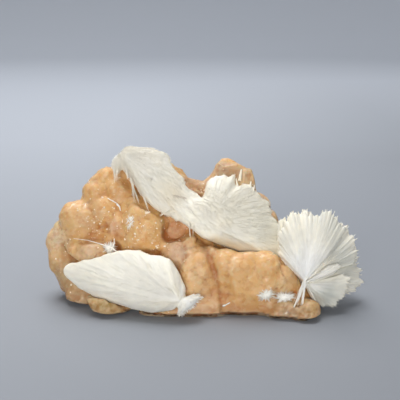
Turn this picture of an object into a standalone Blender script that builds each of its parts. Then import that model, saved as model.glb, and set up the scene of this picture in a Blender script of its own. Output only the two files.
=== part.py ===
"""Scolecite on stilbite, a cabinet mineral specimen.

Honey-coloured stilbite, grown in lumps and blocks, rests on a sawn flat base. White scolecite grows
on it in fans of fine needles that spread from a few roots.
Metres, +Z up. +X runs to the specimen's right as it faces you and -Y is its front. The origin is on
the sawn base, in the plane z = 0.
"""

import math
import random

import bmesh
import bpy
from mathutils import Matrix, Vector, noise

MM = 0.001

# Room left round a fan in the stilbite, before the mass is fused and thinned.
ROOM = 1.5 * MM
# Gap between a tuft and the finished stilbite.
TUFT_GAP = 0.35 * MM

# The stilbite mass is fused from lumps on this grid, thinned to flat facets and sawn off below.
FUSE_GRID = 1.2 * MM
FACETS_KEPT = 0.052
SAW_SIZE = 400.0 * MM
SAW_DEPTH = 40.0 * MM

# Each lump: centre x, y, z and half sizes along x, y, z, in mm.
CORE_LUMPS = [
    (-32, 4, 40, 42, 17, 26), (12, 4, 36, 30, 18, 24), (-20, 1, 16, 58, 30, 21),
    (24, -1, 14, 32, 28, 19), (-60, 2, 28, 18, 12, 19), (-36, 10, 62, 18, 11, 12),
]
UPPER_LEFT_LUMPS = [
    (-58, 6, 66, 8, 8, 8.5), (-61, 2, 59.5, 7.5, 8, 7), (-47.5, 1, 60, 8.5, 9, 9), (-55.5, -4, 51, 9, 9, 8),
    (-41, 12, 69, 11, 10, 10), (-27, 13, 68, 10, 10, 9), (-15, 11, 60, 8, 9, 8), (-64, 3, 53, 6, 7, 6),
]
LEFT_LUMPS = [
    (-70, -3, 43.5, 12.5, 12, 11.5), (-78, 0, 38, 8, 9, 7.5), (-82.5, 1, 31.5, 8, 8.5, 7.5),
    (-72, -10, 31, 6, 6, 5), (-81, -2, 21, 8.5, 11, 9), (-76, -4, 11.5, 9, 12, 10),
    (-71, -13, 13, 9, 8, 9), (-69, -14, 5.5, 10, 10.5, 5.5),
]
FRONT_LUMPS = [
    (-34, -9, 43, 14.5, 15, 14.5), (-28, -16, 35.5, 7.5, 8, 6), (-42, -13, 34, 7, 8, 6),
    (-50.5, -10, 42, 5.5, 8, 9), (-8, -14, 36, 7, 8, 6.5), (-17, -18, 30, 7.5, 9, 9),
    (-9, -21, 28, 6, 8, 8), (1, -19, 31, 6.5, 9, 7), (-52, -28, 6, 13.5, 11.5, 6.5),
    (-38, -22, 16, 14, 11, 13),
]
PEAK_LUMPS = [
    (12, 14, 69, 7.5, 9, 10), (21, 14, 63.5, 8.5, 9, 9), (4, 14, 61, 7.5, 8, 8), (15, 11, 54, 15, 13, 14),
    (-6, 14, 57.5, 6.5, 8, 7), (-0.5, 12, 53, 7, 8, 6), (31.5, 14, 49.5, 7, 8, 7.5),
]
RIGHT_LUMPS = [
    (43, -15, 18, 11, 13, 12.5), (53, -22, 8, 7, 10, 8.5), (44, -34, 3, 13, 9.5, 6),
    (53.5, -37, 4, 6.5, 9, 7), (34, -5, 27, 12, 14, 10), (35, -22, 27, 7, 10, 6.5),
    (41, -20, 8, 14, 14, 9), (47, -24, 12, 8, 10, 7),
]
BACK_LUMPS = [
    (-70, 10, 24, 12, 10, 12), (-57, 17, 42, 13, 10, 13), (-44, 24, 24, 15, 12, 15),
    (-38, 22, 54, 13, 10, 13), (-52, 19, 9, 15, 12, 11), (-20, 25, 62, 10, 8, 8),
    (-22, 28, 38, 14, 12, 13), (-16, 29, 13, 16, 12, 14), (4, 28, 50, 12, 9, 12),
    (9, 31, 26, 15, 11, 14), (24, 25, 45, 10, 9, 10), (30, 26, 11, 14, 12, 12),
    (39, 16, 27, 13, 12, 11), (50, 4, 12, 11, 13, 11), (53, -9, 8, 8, 12, 8), (-66, 14, 8, 12, 10, 9),
]
ROUNDED = [
    CORE_LUMPS, UPPER_LEFT_LUMPS, LEFT_LUMPS, FRONT_LUMPS, PEAK_LUMPS, RIGHT_LUMPS, BACK_LUMPS,
]
# Blocky crystal masses: the broad block, the slim one beside it and the low ledge in front of both.
BLOCKS = [
    (24.5, -20, 14, 15.5, 17, 20), (9, -22, 22, 6, 12, 12), (-5.5, -21, 17, 8, 14, 16),
    (-3, -25, 3, 17, 13.5, 8), (-22, -24, 6, 17, 14, 10), (-62, -13, 29.5, 9.5, 8, 4.5),
]
# A lump of power 2 is a ball; a higher power squares it up. Balls are pushed flat by random planes.
ROUND_POWER = 2.0
BLOCK_POWER = 4.5
LUMP_CUTS = 12
LUMP_CUT_DEPTH = (0.80, 0.94)
LUMP_ROUGH = 0.10
LUMP_ROUGH_SCALE = 1.7

# Rays run from a fan's root to its rim. Every other ray is short, as shares of the fan's tooth.
FAN_RINGS = 4
LONG_RAY = (-0.2, 0.3)
SHORT_RAY = (0.4, 1.6)
TOOTH_POWER = 4
RAY_JITTER = 0.3
# Grooves between the rays, shallower along the crests, and broad folds across the fan.
GROOVE = (0.0, 0.26)
CREST_GROOVE = 0.4
FOLD = 0.16
FOLD_TURNS = 20.0
# The section along a ray: it starts swollen at the root and thins to the lip at the rim.
SECTION_START = 0.2
SECTION_END = 0.97
SECTION_POWER = 0.8
# The section across the fan: the first and last rays keep this share of the swell.
SIDE_SHARE = 0.3
SIDE_POWER = 4
SIDE_START = 0.3
WELD = 0.001 * MM


def fan(root, normal, rim, bulge, backing, rays, seed, along=(1, 0, 0), tooth=0.07, lip=1.0):
    """One fan of needles.

    root is the point that the needles spread from, normal the way the fan faces, and rim the outline
    as (angle in degrees from `along`, length in mm). bulge and backing are how far the fan swells in
    front of and behind its own plane, lip is half its thickness at the tips, all in mm.
    """
    return {
        "root": Vector(root) * MM, "normal": Vector(normal).normalized(), "along": Vector(along),
        "rim": [Vector((math.cos(math.radians(angle)), math.sin(math.radians(angle)))) * length * MM
                for angle, length in rim],
        "bulge": bulge * MM, "backing": backing * MM, "lip": lip * MM,
        "rays": rays, "seed": seed, "tooth": tooth,
    }


# The two upper fans and the short one that bridges them.
UPPER_FANS = [
    fan((-47, 2, 80.5), (0, -0.85, 0.53),
        [(-135, 8), (-112, 12), (-92, 13), (-76, 25), (-68, 33), (-57, 41), (-52, 49), (-49, 60),
         (-43, 57), (-35, 51), (-23, 43), (-13, 32), (3, 28), (14, 18), (50, 7), (75, 5)],
        bulge=5, backing=6, rays=38, seed=3),
    fan((-1.8, -18, 44.5), (0.24, -0.75, 0.61),
        [(-100, 6), (-46, 11), (-30, 22), (-20, 37), (-15, 45.5), (0, 43.5), (15, 43), (28, 45), (34, 41),
         (45, 40), (52, 36), (57, 36), (61, 41), (70, 37.5), (80, 34), (90, 30), (100, 24), (114, 20),
         (140, 17)],
        bulge=5, backing=7, rays=42, seed=5),
    fan((3, -18.5, 45), (0.1, -0.82, 0.56),
        [(212, 9), (200, 14), (188, 18), (176, 20), (162, 21), (150, 21), (140, 19)],
        bulge=4.5, backing=5, rays=10, seed=6),
]

LOWER_FANS = [
    fan((-12.4, -41, 12.3), (-0.25, -0.955, 0.16),
        [(75, 6), (92, 9), (101, 15), (109, 22), (120, 26), (129, 29), (134, 35), (142, 41), (149, 46),
         (157, 52), (164, 61), (170, 69), (176.5, 61), (181, 51), (185, 41), (193, 30), (205, 20),
         (234, 8)],
        bulge=6.5, backing=6.5, rays=36, seed=7, tooth=0.02),
    fan((-13.5, -41, 12.3), (0.1, -0.98, 0.16),
        [(-95, 7), (-75, 9), (-40, 9), (-8, 10.5), (17, 9.5), (40, 7), (60, 6)],
        bulge=2.5, backing=3, rays=12, seed=8, tooth=0.2),
]

# The flower: a front fan, four fans that lean back behind it and to the right, a low shaded fan, a
# petal between them and a shaded petal on the left. Their roots lie close together.
FLOWER_FANS = [
    fan((52, -30, 18), (0.10, -0.95, 0.30),
        [(137, 14), (131, 21), (122, 27), (113, 33), (104, 37.5), (96, 39), (90, 39.5), (77, 39),
         (66, 41), (58, 41), (50, 36), (44, 26)],
        bulge=5, backing=4.5, rays=22, seed=11),
    fan((52.8, -28.9, 18.4), (0.32, -0.80, 0.50),
        [(74, 38), (62, 40), (52, 41), (42, 41), (30, 38), (20, 34)],
        bulge=3, backing=8, rays=12, seed=16),
    fan((53.3, -29.3, 17.1), (0.45, -0.72, 0.53),
        [(44, 41), (34, 42), (24, 41), (14, 40), (6, 40), (0, 37), (-6, 30), (-12, 24)],
        bulge=3.5, backing=8, rays=14, seed=12),
    fan((52.3, -27.6, 18.9), (0.12, -0.74, 0.66),
        [(112, 24), (106, 33), (99, 37), (90, 40), (75, 41), (60, 41), (48, 38)],
        bulge=4, backing=7, rays=14, seed=13),
    fan((53.6, -27.2, 18.1), (0.40, -0.42, 0.82),
        [(88, 26), (78, 34), (66, 38), (52, 38), (38, 38), (24, 37), (10, 32), (2, 26)],
        bulge=4, backing=6, rays=14, seed=14),
    fan((52.9, -30.4, 16.6), (0.15, -0.95, 0.28),
        [(14, 25), (2, 27), (-8, 25), (-16, 23), (-26, 22), (-38, 20), (-50, 15), (-64, 11)],
        bulge=2.5, backing=5, rays=12, seed=15, tooth=0.14),
    fan((51.5, -31.2, 17.5), (0.1, -0.97, 0.25), [(34, 17), (28, 23), (22, 23), (15, 18)],
        bulge=2, backing=3, rays=4, seed=17),
    fan((50.2, -27.3, 21.5), (-0.15, -0.95, 0.28), [(124, 19), (118, 26), (111, 31), (104, 32)],
        bulge=2, backing=2, rays=6, seed=18),
]

# Slim crystals that stand alone: foot, tip and radius in mm.
NOTCH_SPIKES = [((19.5, 4, 62), (20.0, 8.5, 72.5), 1.2), ((22, 2, 59), (24.5, 5, 67), 1.0)]
FLOWER_SPIKES = [
    ((52.5, -30, 19.5), (46.4, -37.4, 7.0), 1.5), ((53, -30, 19), (49.2, -38.0, 6.6), 1.3),
    ((53, -30, 18), (66.2, -34.5, 6.0), 1.7), ((53, -30, 18), (57.6, -36.5, 9.0), 1.1),
]

SPIKE_SIDES = 6
SPIKE_TAPER = 0.3

# Each tuft: name, centre x, y, z, facing direction, half width, half height and stand-off in mm, seed.
TUFTS = [
    ("scolecite_tuft_ledge", (-50.5, -18.5, 34), (0, -0.9, 0.4), (3.4, 4.2, 2.2), 21),
    ("scolecite_tuft_ball", (-41, -20.5, 48), (-0.4, -0.85, 0.3), (1.6, 2.6, 1.5), 22),
    ("scolecite_tuft_block_left", (31.8, -38.3, 13.3), (0.15, -1, -0.05), (3.2, 2.8, 1.7), 23),
    ("scolecite_tuft_block_right", (41.8, -34.4, 10.2), (0, -0.75, 0.65), (3.8, 2.2, 1.7), 24),
]
TUFT_SPIKE = 0.4
TUFT_UNEVEN = (0.8, 1.15)

STILBITE = ((0.60, 0.36, 0.17), 0.42)
SCOLECITE = ((0.86, 0.83, 0.76), 0.55)


def make_material(name, look):
    """A Principled material from a colour and a roughness."""
    colour, roughness = look
    material = bpy.data.materials.new(name)
    material.use_nodes = True
    shader = material.node_tree.nodes["Principled BSDF"]
    shader.inputs["Base Color"].default_value = (*colour, 1.0)
    shader.inputs["Roughness"].default_value = roughness
    shader.inputs["Metallic"].default_value = 0.0
    return material


def add_object(name, bm, material=None):
    """Turns a bmesh into a scene object. With no material it is a hidden helper shape."""
    bmesh.ops.recalc_face_normals(bm, faces=bm.faces)
    mesh = bpy.data.meshes.new(name)
    bm.to_mesh(mesh)
    bm.free()
    thing = bpy.data.objects.new(name, mesh)
    bpy.context.scene.collection.objects.link(thing)
    if material is None:
        thing.hide_render = True
        thing.display_type = "WIRE"
    else:
        mesh.materials.append(material)
    return thing


def add_boolean(thing, operation, other):
    """Joins or cuts with another object."""
    boolean = thing.modifiers.new(other.name, "BOOLEAN")
    boolean.operation = operation
    boolean.solver = "EXACT"
    boolean.object = other


def add_lump(bm, lump, power, rng):
    """A lump with flat crystal faces: a ball, or a rounded block at a higher power."""
    ball = bmesh.ops.create_icosphere(bm, subdivisions=4, radius=1.0)["verts"]
    offset = Vector((rng.uniform(-9, 9), rng.uniform(-9, 9), rng.uniform(-9, 9)))
    planes = []
    if power == ROUND_POWER:
        for _ in range(LUMP_CUTS):
            facing = Vector((rng.gauss(0, 1), rng.gauss(0, 1), rng.gauss(0, 1))).normalized()
            planes.append((facing, rng.uniform(*LUMP_CUT_DEPTH)))
    for vert in ball:
        vert.co /= sum(abs(part) ** power for part in vert.co) ** (1.0 / power)
        for facing, depth in planes:
            vert.co -= facing * max(0.0, vert.co.dot(facing) - depth)
        vert.co *= 1.0 + LUMP_ROUGH * noise.noise(vert.co * LUMP_ROUGH_SCALE + offset)
    place = Matrix.Translation(Vector(lump[:3]) * MM) @ Matrix.Diagonal((*Vector(lump[3:]) * MM, 1.0))
    bmesh.ops.transform(bm, matrix=place, verts=ball)


def rim_point(rim, turn):
    """The point of a fan's outline at a share of its length, as a pair in the fan's plane."""
    steps = [(b - a).length for a, b in zip(rim, rim[1:])]
    left = turn * sum(steps)
    for a, b, step in zip(rim, rim[1:], steps):
        if left <= step:
            return a.lerp(b, left / step)
        left -= step
    return rim[-1]


def fan_bmesh(spec, plain=False):
    """The closed solid of one fan: a sheet of rays with a front and a back.

    Rays are grooved and end unevenly, so the rim is toothed. A plain fan keeps only the outer form.
    """
    rng = random.Random(spec["seed"])
    rays = spec["rays"]
    tooth = spec["tooth"]
    ends = [1.0 + tooth * rng.uniform(*LONG_RAY) if ray % 2 else 1.0 - tooth * rng.uniform(*SHORT_RAY)
            for ray in range(rays + 1)]
    grooves = [rng.uniform(*GROOVE) * (CREST_GROOVE if ray % 2 else 1.0) for ray in range(rays + 1)]
    jitter = [0.0] + [rng.uniform(-RAY_JITTER, RAY_JITTER) for _ in range(rays - 1)] + [0.0]
    fold_phase = rng.uniform(0.0, math.tau)
    if plain:
        ends = [1.0 + tooth * LONG_RAY[1]] * (rays + 1)
        grooves = [0.0] * (rays + 1)

    normal = spec["normal"]
    across = (spec["along"] - normal * spec["along"].dot(normal)).normalized()
    upward = normal.cross(across)

    bm = bmesh.new()
    bmesh.ops.create_grid(bm, x_segments=rays, y_segments=FAN_RINGS, size=0.5)
    back = set(bm.verts)
    bmesh.ops.extrude_face_region(bm, geom=bm.faces[:])
    for vert in bm.verts:
        ray = round((vert.co.x + 0.5) * rays)
        turn = (ray + jitter[ray]) / rays
        share = vert.co.y + 0.5
        reach = rim_point(spec["rim"], turn) * share * (1.0 + (ends[ray] - 1.0) * share ** TOOTH_POWER)
        edge = (1.0 - SIDE_SHARE) * (2.0 * turn - 1.0) ** SIDE_POWER * min(1.0, share / SIDE_START)
        along_ray = SECTION_START + (SECTION_END - SECTION_START) * share
        rise = math.sin(math.pi * along_ray) ** SECTION_POWER
        fold = 1.0 + FOLD * math.sin(fold_phase + FOLD_TURNS * turn) * share
        depth = spec["backing"] if vert in back else spec["bulge"] * fold
        height = (spec["lip"] + depth * rise * (1.0 - edge)) * (1.0 - grooves[ray] * share)
        side = -1.0 if vert in back else 1.0
        vert.co = spec["root"] + across * reach.x + upward * reach.y + normal * (height * side)
    bmesh.ops.remove_doubles(bm, verts=bm.verts, dist=WELD)
    bmesh.ops.recalc_face_normals(bm, faces=bm.faces)
    return bm


def swell(bm, distance):
    """Moves every point outward along its normal."""
    bm.normal_update()
    for vert in bm.verts:
        vert.co += vert.normal * distance


def build_fans(name, fans, material, spikes=()):
    """One scolecite piece: its first fan, joined with the others and with any spikes."""
    piece = add_object(name, fan_bmesh(fans[0]), material)
    for number, spec in enumerate(fans[1:], start=1):
        add_boolean(piece, "UNION", add_object(f"{name}_fan_{number}", fan_bmesh(spec)))
    for number, spike in enumerate(spikes, start=1):
        add_boolean(piece, "UNION", add_object(f"{name}_spike_{number}", spike_bmesh(spike)))
    return piece


def spike_bmesh(spike, plain=False):
    """A slim pointed crystal between two points. A plain one is as wide at its tip as at its foot."""
    foot, tip, radius = Vector(spike[0]) * MM, Vector(spike[1]) * MM, spike[2] * MM
    bm = bmesh.new()
    tip_radius = radius if plain else radius * SPIKE_TAPER
    bmesh.ops.create_cone(bm, segments=SPIKE_SIDES, radius1=radius, radius2=tip_radius,
                          depth=(tip - foot).length, cap_ends=True, cap_tris=False)
    turn = (tip - foot).to_track_quat("Z", "Y").to_matrix().to_4x4()
    bmesh.ops.transform(bm, matrix=Matrix.Translation((foot + tip) / 2) @ turn, verts=bm.verts)
    return bm


def tuft_bmesh(tuft):
    """A small burst of crystals, flattened against the surface that it grows on."""
    _, centre, facing, half_sizes, seed = tuft
    rng = random.Random(seed)
    bm = bmesh.new()
    bmesh.ops.create_icosphere(bm, subdivisions=1, radius=1.0)
    bmesh.ops.poke(bm, faces=bm.faces[:], offset=TUFT_SPIKE)
    for vert in bm.verts:
        vert.co *= rng.uniform(*TUFT_UNEVEN)
    bmesh.ops.scale(bm, vec=Vector(half_sizes) * MM, verts=bm.verts)
    turn = Vector(facing).to_track_quat("Z", "Y").to_matrix().to_4x4()
    place = Matrix.Translation(Vector(centre) * MM) @ turn
    bmesh.ops.transform(bm, matrix=place, verts=bm.verts)
    return bm


def fuse(thing):
    """Makes one skin of all that overlaps."""
    skin = thing.modifiers.new("fuse", "REMESH")
    skin.mode = "VOXEL"
    skin.voxel_size = FUSE_GRID


def build_room():
    """The space that the fans and their spikes take up in the stilbite, as one helper shape."""
    forms = [fan_bmesh(spec, plain=True) for spec in UPPER_FANS + LOWER_FANS + FLOWER_FANS]
    forms += [spike_bmesh(spike, plain=True) for spike in NOTCH_SPIKES + FLOWER_SPIKES]
    whole = bmesh.new()
    for form in forms:
        swell(form, ROOM)
        passing = bpy.data.meshes.new("form")
        form.to_mesh(passing)
        form.free()
        whole.from_mesh(passing)
        bpy.data.meshes.remove(passing)
    room = add_object("room", whole)
    fuse(room)
    return room


def build_matrix(material):
    """The stilbite mass: lumps and blocks fused, cleared for the scolecite and sawn flat below."""
    rng = random.Random(1)
    bm = bmesh.new()
    for group in ROUNDED:
        for lump in group:
            add_lump(bm, lump, ROUND_POWER, rng)
    for block in BLOCKS:
        add_lump(bm, block, BLOCK_POWER, rng)
    matrix = add_object("stilbite_matrix", bm, material)

    fuse(matrix)
    add_boolean(matrix, "DIFFERENCE", build_room())
    fuse(matrix)
    thin = matrix.modifiers.new("facets", "DECIMATE")
    thin.ratio = FACETS_KEPT

    saw = bmesh.new()
    bmesh.ops.create_cube(saw, size=1.0)
    bmesh.ops.scale(saw, vec=(SAW_SIZE, SAW_SIZE, SAW_DEPTH), verts=saw.verts)
    bmesh.ops.translate(saw, vec=(0, 0, -SAW_DEPTH / 2), verts=saw.verts)
    add_boolean(matrix, "DIFFERENCE", add_object("saw_cut", saw))
    return matrix


def settle(thing):
    """Replaces an object's mesh by what its modifiers make of it."""
    graph = bpy.context.evaluated_depsgraph_get()
    thing.data = bpy.data.meshes.new_from_object(thing.evaluated_get(graph))
    thing.modifiers.clear()


def build_tufts(matrix, material):
    """The small bursts, each cut off where it meets the stilbite."""
    bed = bmesh.new()
    bed.from_mesh(matrix.data)
    swell(bed, TUFT_GAP)
    bed = add_object("tuft_bed", bed)
    for tuft in TUFTS:
        add_boolean(add_object(tuft[0], tuft_bmesh(tuft), material), "DIFFERENCE", bed)


def main():
    for thing in list(bpy.data.objects):
        bpy.data.objects.remove(thing, do_unlink=True)
    stilbite = make_material("stilbite", STILBITE)
    scolecite = make_material("scolecite", SCOLECITE)

    matrix = build_matrix(stilbite)
    settle(matrix)
    build_tufts(matrix, scolecite)
    build_fans("scolecite_upper_fans", UPPER_FANS, scolecite, NOTCH_SPIKES)
    build_fans("scolecite_lower_fan", LOWER_FANS, scolecite)
    build_fans("scolecite_flower", FLOWER_FANS, scolecite, FLOWER_SPIKES)


main()
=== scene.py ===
"""Scolecite on stilbite, dressed for rendering.

Honey-coloured stilbite in lumps and blocks, with white scolecite grown over it in fans of needles.
Metres, +Z up. The specimen's front faces -Y, and it rests on the plane z = 0.
"""

import math

import bmesh
import bpy
import numpy as np
from bpy.props import FloatProperty, FloatVectorProperty, IntProperty, PointerProperty
from mathutils import Matrix, Vector, noise
from mathutils.kdtree import KDTree


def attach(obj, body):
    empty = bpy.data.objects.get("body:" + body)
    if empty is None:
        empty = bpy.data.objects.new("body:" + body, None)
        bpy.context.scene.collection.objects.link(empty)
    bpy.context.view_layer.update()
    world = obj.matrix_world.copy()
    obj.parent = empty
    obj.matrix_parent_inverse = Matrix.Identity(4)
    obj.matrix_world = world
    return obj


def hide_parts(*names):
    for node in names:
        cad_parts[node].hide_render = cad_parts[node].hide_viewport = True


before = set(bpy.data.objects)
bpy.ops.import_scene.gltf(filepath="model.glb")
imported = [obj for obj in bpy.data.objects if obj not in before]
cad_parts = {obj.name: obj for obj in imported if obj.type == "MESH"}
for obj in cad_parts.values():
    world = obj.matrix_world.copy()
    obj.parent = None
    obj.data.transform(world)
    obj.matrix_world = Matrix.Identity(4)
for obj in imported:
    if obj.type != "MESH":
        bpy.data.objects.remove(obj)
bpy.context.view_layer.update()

bl_info = {
    "name": "Scolecite on Stilbite",
    "version": (1, 0, 0),
    "blender": (4, 5, 0),
    "location": "3D View > Sidebar > Specimen",
    "description": "Builds a mineral specimen of white scolecite fans on honey-coloured stilbite",
    "category": "Object",
}

MM = 0.001


def rgb(red, green, blue):
    """A linear colour from 8-bit display values."""
    parts = [value / 255.0 for value in (red, green, blue)]
    return tuple(p / 12.92 if p <= 0.04045 else ((p + 0.055) / 1.055) ** 2.4 for p in parts)


# The fans' shapes

def fan(root, normal, rim, bulge, backing, seed, fringe, tooth=0.07, grooves=1.0, fold=0.14):
    """One fan of needles. Lengths are in mm, and rim is its outline as (angle in degrees, length).

    bulge and backing are its thickness in front and behind, fringe is the number, radius and reach of the
    needles that stand out at the rim, tooth is how deep the rim's teeth are as a share of the fan's
    length, grooves how strong its ridges are and fold how wavy it is.
    """
    return dict(root=root, normal=normal, rim=rim, bulge=bulge, backing=backing, seed=seed, fringe=fringe,
                tooth=tooth, grooves=grooves, fold=fold)


UPPER_FANS = [
    fan((-47, 2, 80.5), (0, -0.85, 0.53),
        [(-150, 6), (-125, 9), (-108, 11.5), (-98, 11), (-91, 8.5), (-84, 8), (-74, 12), (-67, 17),
         (-64.5, 22), (-64, 27), (-61, 32), (-58, 37), (-55.5, 41.5), (-52, 46.5), (-49, 53), (-47, 58.5),
         (-44, 58), (-40, 55), (-33, 49), (-28, 43.5), (-23, 39), (-19, 35), (-13, 30), (-3, 26.5),
         (3, 25), (14, 18), (50, 7), (75, 5)],
        bulge=5, backing=6, seed=3, tooth=0.06, grooves=0.6, fringe=(900, 0.14, 1.3), fold=0.0),
    fan((-1.8, -18, 44.5), (0.24, -0.75, 0.61),
        [(-100, 6), (-46, 11), (-30, 22), (-21, 46), (-15, 46.5), (-8, 45.5), (2.5, 45), (9, 44.5),
         (18, 43.5), (23, 42), (26, 45), (30, 41.5), (36, 41), (42.5, 41.5), (47, 42.5), (50, 41),
         (52.5, 36), (55, 32), (57.5, 36), (61, 39), (66, 37.5), (70, 36.5), (76, 35), (81, 33),
         (84.5, 29.5), (87, 22), (91, 18.5), (98, 18), (106, 18.5), (113, 19.5), (121, 20), (140, 17)],
        bulge=5, backing=7, seed=5, tooth=0.08, grooves=0.3, fringe=(1000, 0.14, 1.1), fold=0.0),
    fan((3, -18.5, 45), (0.1, -0.82, 0.56),
        [(212, 6), (200, 8), (188, 10), (176, 12), (166, 15), (157, 19), (150, 22.5), (141, 21),
         (132, 17)],
        bulge=3.0, backing=5, seed=6, tooth=0.03, grooves=0.25, fringe=(60, 0.13, 0.6), fold=0.0),
]

# Smooth swellings where the upper fans run into each other: middle, radii and normal.
UPPER_SWELLS = [
    ((-3.5, -15.2, 52.0), (13.0, 9.0, 5.0), (0.08, -0.80, 0.60)),
    ((4.5, -16.4, 46.8), (13.5, 10.0, 5.0), (0.14, -0.77, 0.62)),
    ((-12.0, -10.5, 55.5), (10.0, 9.0, 5.3), (-0.05, -0.85, 0.52)),
    ((-20.0, -9.5, 60.5), (12.0, 8.0, 5.5), (0.0, -0.86, 0.52)),
]

# Places where the fused fans are smoothest: place and reach in mm.
CALM_FANS = [((1.0, -18.5, 50.5), 9), ((-13.0, -15.0, 58.0), 8)]

# Hairs combed over the fused fans: number of the fan whose rays they follow, place, reach, number of
# hairs and their radius, in mm.
COMBED = [
    (0, (-2.0, -18.0, 51.5), 13, 620, 0.13), (0, (10.0, -16.0, 50.0), 11, 240, 0.11),
    (0, (-16.0, -15.0, 60.0), 9, 240, 0.12), (0, (-44.0, -1.0, 80.0), 12, 800, 0.12),
    (0, (-30.0, -6.0, 72.0), 14, 700, 0.12), (0, (-40.0, 8.0, 76.0), 14, 500, 0.12),
    (1, (24.0, -6.0, 52.0), 15, 700, 0.11), (1, (31.0, -14.0, 40.0), 12, 400, 0.11),
    (1, (22.0, 4.0, 50.0), 16, 400, 0.12),
]

LOWER_FANS = [
    fan((-12.4, -41, 12.3), (-0.25, -0.955, 0.16),
        [(75, 6), (92, 9), (101, 15), (109, 22), (120, 26), (129, 29), (134, 35), (142, 41), (149, 46),
         (157, 52), (162, 59), (165.5, 66), (168.5, 68.5), (171.5, 67.5), (174, 64), (176.5, 60),
         (181, 51), (185, 41), (193, 30), (205, 20), (234, 8)],
        bulge=6.5, backing=6.5, seed=7, tooth=0.025, grooves=0.5, fringe=(600, 0.12, 0.6), fold=0.06),
    fan((-13.5, -41, 12.3), (0.1, -0.92, 0.36),
        [(-104, 8.5), (-94, 10), (-82, 9), (-60, 7.5), (-40, 7.5), (-20, 9), (-4, 11), (5, 12), (12, 10),
         (18, 6.5)],
        bulge=2.8, backing=3, seed=8, tooth=0.22, grooves=0.9, fringe=(260, 0.24, 2.0)),
]

FLOWER_FANS = [
    fan((52, -30, 18), (0.10, -0.95, 0.30),
        [(137, 14), (131, 21), (122, 27), (113, 33), (104, 37), (96, 38.5), (90, 39), (77, 38.5),
         (66, 40.5), (58, 40.5), (50, 36), (44, 26)],
        bulge=5, backing=4.5, seed=11, tooth=0.1, grooves=0.9, fringe=(170, 0.5, 2.0)),
    fan((52.8, -28.9, 18.4), (0.32, -0.80, 0.50),
        [(74, 39), (62, 42), (52, 44), (42, 43.5), (30, 39), (20, 34)],
        bulge=3, backing=8, seed=16, tooth=0.12, grooves=2.6, fringe=(70, 0.5, 2.4)),
    fan((53.3, -29.3, 17.1), (0.45, -0.72, 0.53),
        [(44, 43.5), (34, 42), (24, 40), (14, 38.5), (6, 39), (0, 34), (-6, 26), (-12, 19)],
        bulge=3.5, backing=8, seed=12, tooth=0.12, grooves=3.0, fringe=(90, 0.45, 2.2)),
    fan((52.3, -27.6, 18.9), (0.12, -0.74, 0.66),
        [(112, 24), (106, 33), (99, 37), (90, 40), (75, 41), (60, 41), (48, 38)],
        bulge=4, backing=7, seed=13, tooth=0.1, grooves=2.4, fringe=(120, 0.5, 2.6)),
    fan((53.6, -27.2, 18.1), (0.40, -0.42, 0.82),
        [(88, 26), (78, 34), (66, 38), (52, 38), (38, 38), (24, 37), (10, 32), (2, 26)],
        bulge=4, backing=6, seed=14, tooth=0.12, grooves=3.0, fringe=(90, 0.45, 2.2)),
    fan((52.9, -30.4, 16.6), (0.15, -0.95, 0.28),
        [(14, 25), (2, 27), (-8, 25), (-16, 23), (-26, 22), (-38, 20), (-50, 15), (-64, 11)],
        bulge=2.5, backing=5, seed=15, tooth=0.14, grooves=1.7, fringe=(220, 0.25, 1.6)),
    fan((51.5, -31.2, 17.5), (0.1, -0.97, 0.25), [(34, 17), (28, 23), (22, 23), (15, 18)],
        bulge=2, backing=3, seed=17, fringe=(40, 0.2, 1.0)),
    fan((50.2, -27.3, 21.5), (-0.15, -0.95, 0.28), [(124, 19), (118, 26), (111, 31), (104, 32)],
        bulge=2, backing=2, seed=18, fringe=(50, 0.25, 1.0)),
]

# How finely a fan is laid out: rings from its root to its rim, fewest rays, and width of a ray in mm.
RINGS = 36
FEWEST_RAYS = 24
RAY_WIDTH = 0.42

# A fan's cross-section: where its arch starts and ends on the way out and how round it is, how much and
# how steeply it sinks towards its two sides, its thickness at the edge and the least one, in mm.
ARCH_START = 0.2
ARCH_END = 0.97
ARCH_POWER = 0.8
SIDE_SHARE = 0.3
SIDE_POWER = 4
SIDE_START = 0.3
LIP = 1.0
LIP_LOSS = 0.55
LEAST_HEIGHT = 0.15
FOLD_TURNS = 20.0

# Widths of a rim's teeth in mm, how far each kind stands out, and how far all of them are drawn back.
TEETH = [(3.2, 0.55), (1.1, 0.3), (0.4, 0.2)]
TEETH_BACK = 0.45

# Widths and depths of a fan's ridges in mm, and how far out they have their full depth.
RIDGES = [(7.0, 0.24), (3.0, 0.15), (1.3, 0.08), (0.6, 0.05)]
RIDGE_START = 0.6

# The skin over fused fans: its grain in mm, and how often it is smoothed, all over and where it is calm.
SKIN_GRAIN = 0.5
SKIN_PASSES = 16
CALM_PASSES = 90

# Needles thicker than this, in mm, have four sides instead of three.
THICK_NEEDLE = 0.3

# How far past a fan's first and last ray, in degrees, its skin still counts as its own.
OUTSIDE_ANGLE = 12.0

# How far apart the needles' streaks lie, and how deep and rough the heart of a small burst is.
RAY_STEP = 1.7
HEART_DEPTH = 0.35
HEART_ROUGHNESS = 0.35
TUFT_NEEDLES = 420

# A colour zone fades out at this many times its reach, from full strength one reach further in.
ZONE_EDGE = 1.25

# Slim crystals that stand alone: foot, tip and radius in mm.
NOTCH_SPIKES = [
    ((18.9, 4.0, 65.5), (19.9, 7.0, 71.6), 1.1), ((24.6, 1.5, 61), (25.2, 3.4, 65.4), 0.8),
    ((17.6, 2.2, 63), (16.8, 4.2, 67.0), 0.7), ((26.2, 1.0, 59.5), (27.2, 2.8, 63.4), 0.7),
]
FLOWER_SPIKES = [
    ((52.2, -32.5, 19.5), (46.2, -40.2, 7.2), 0.75), ((52.6, -32.6, 19), (50.6, -40.4, 7.0), 0.75),
    ((53, -32, 18), (57.8, -37.5, 10.0), 0.55), ((52.4, -32.6, 18), (48.0, -39.5, 9.5), 0.35),
]

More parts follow.
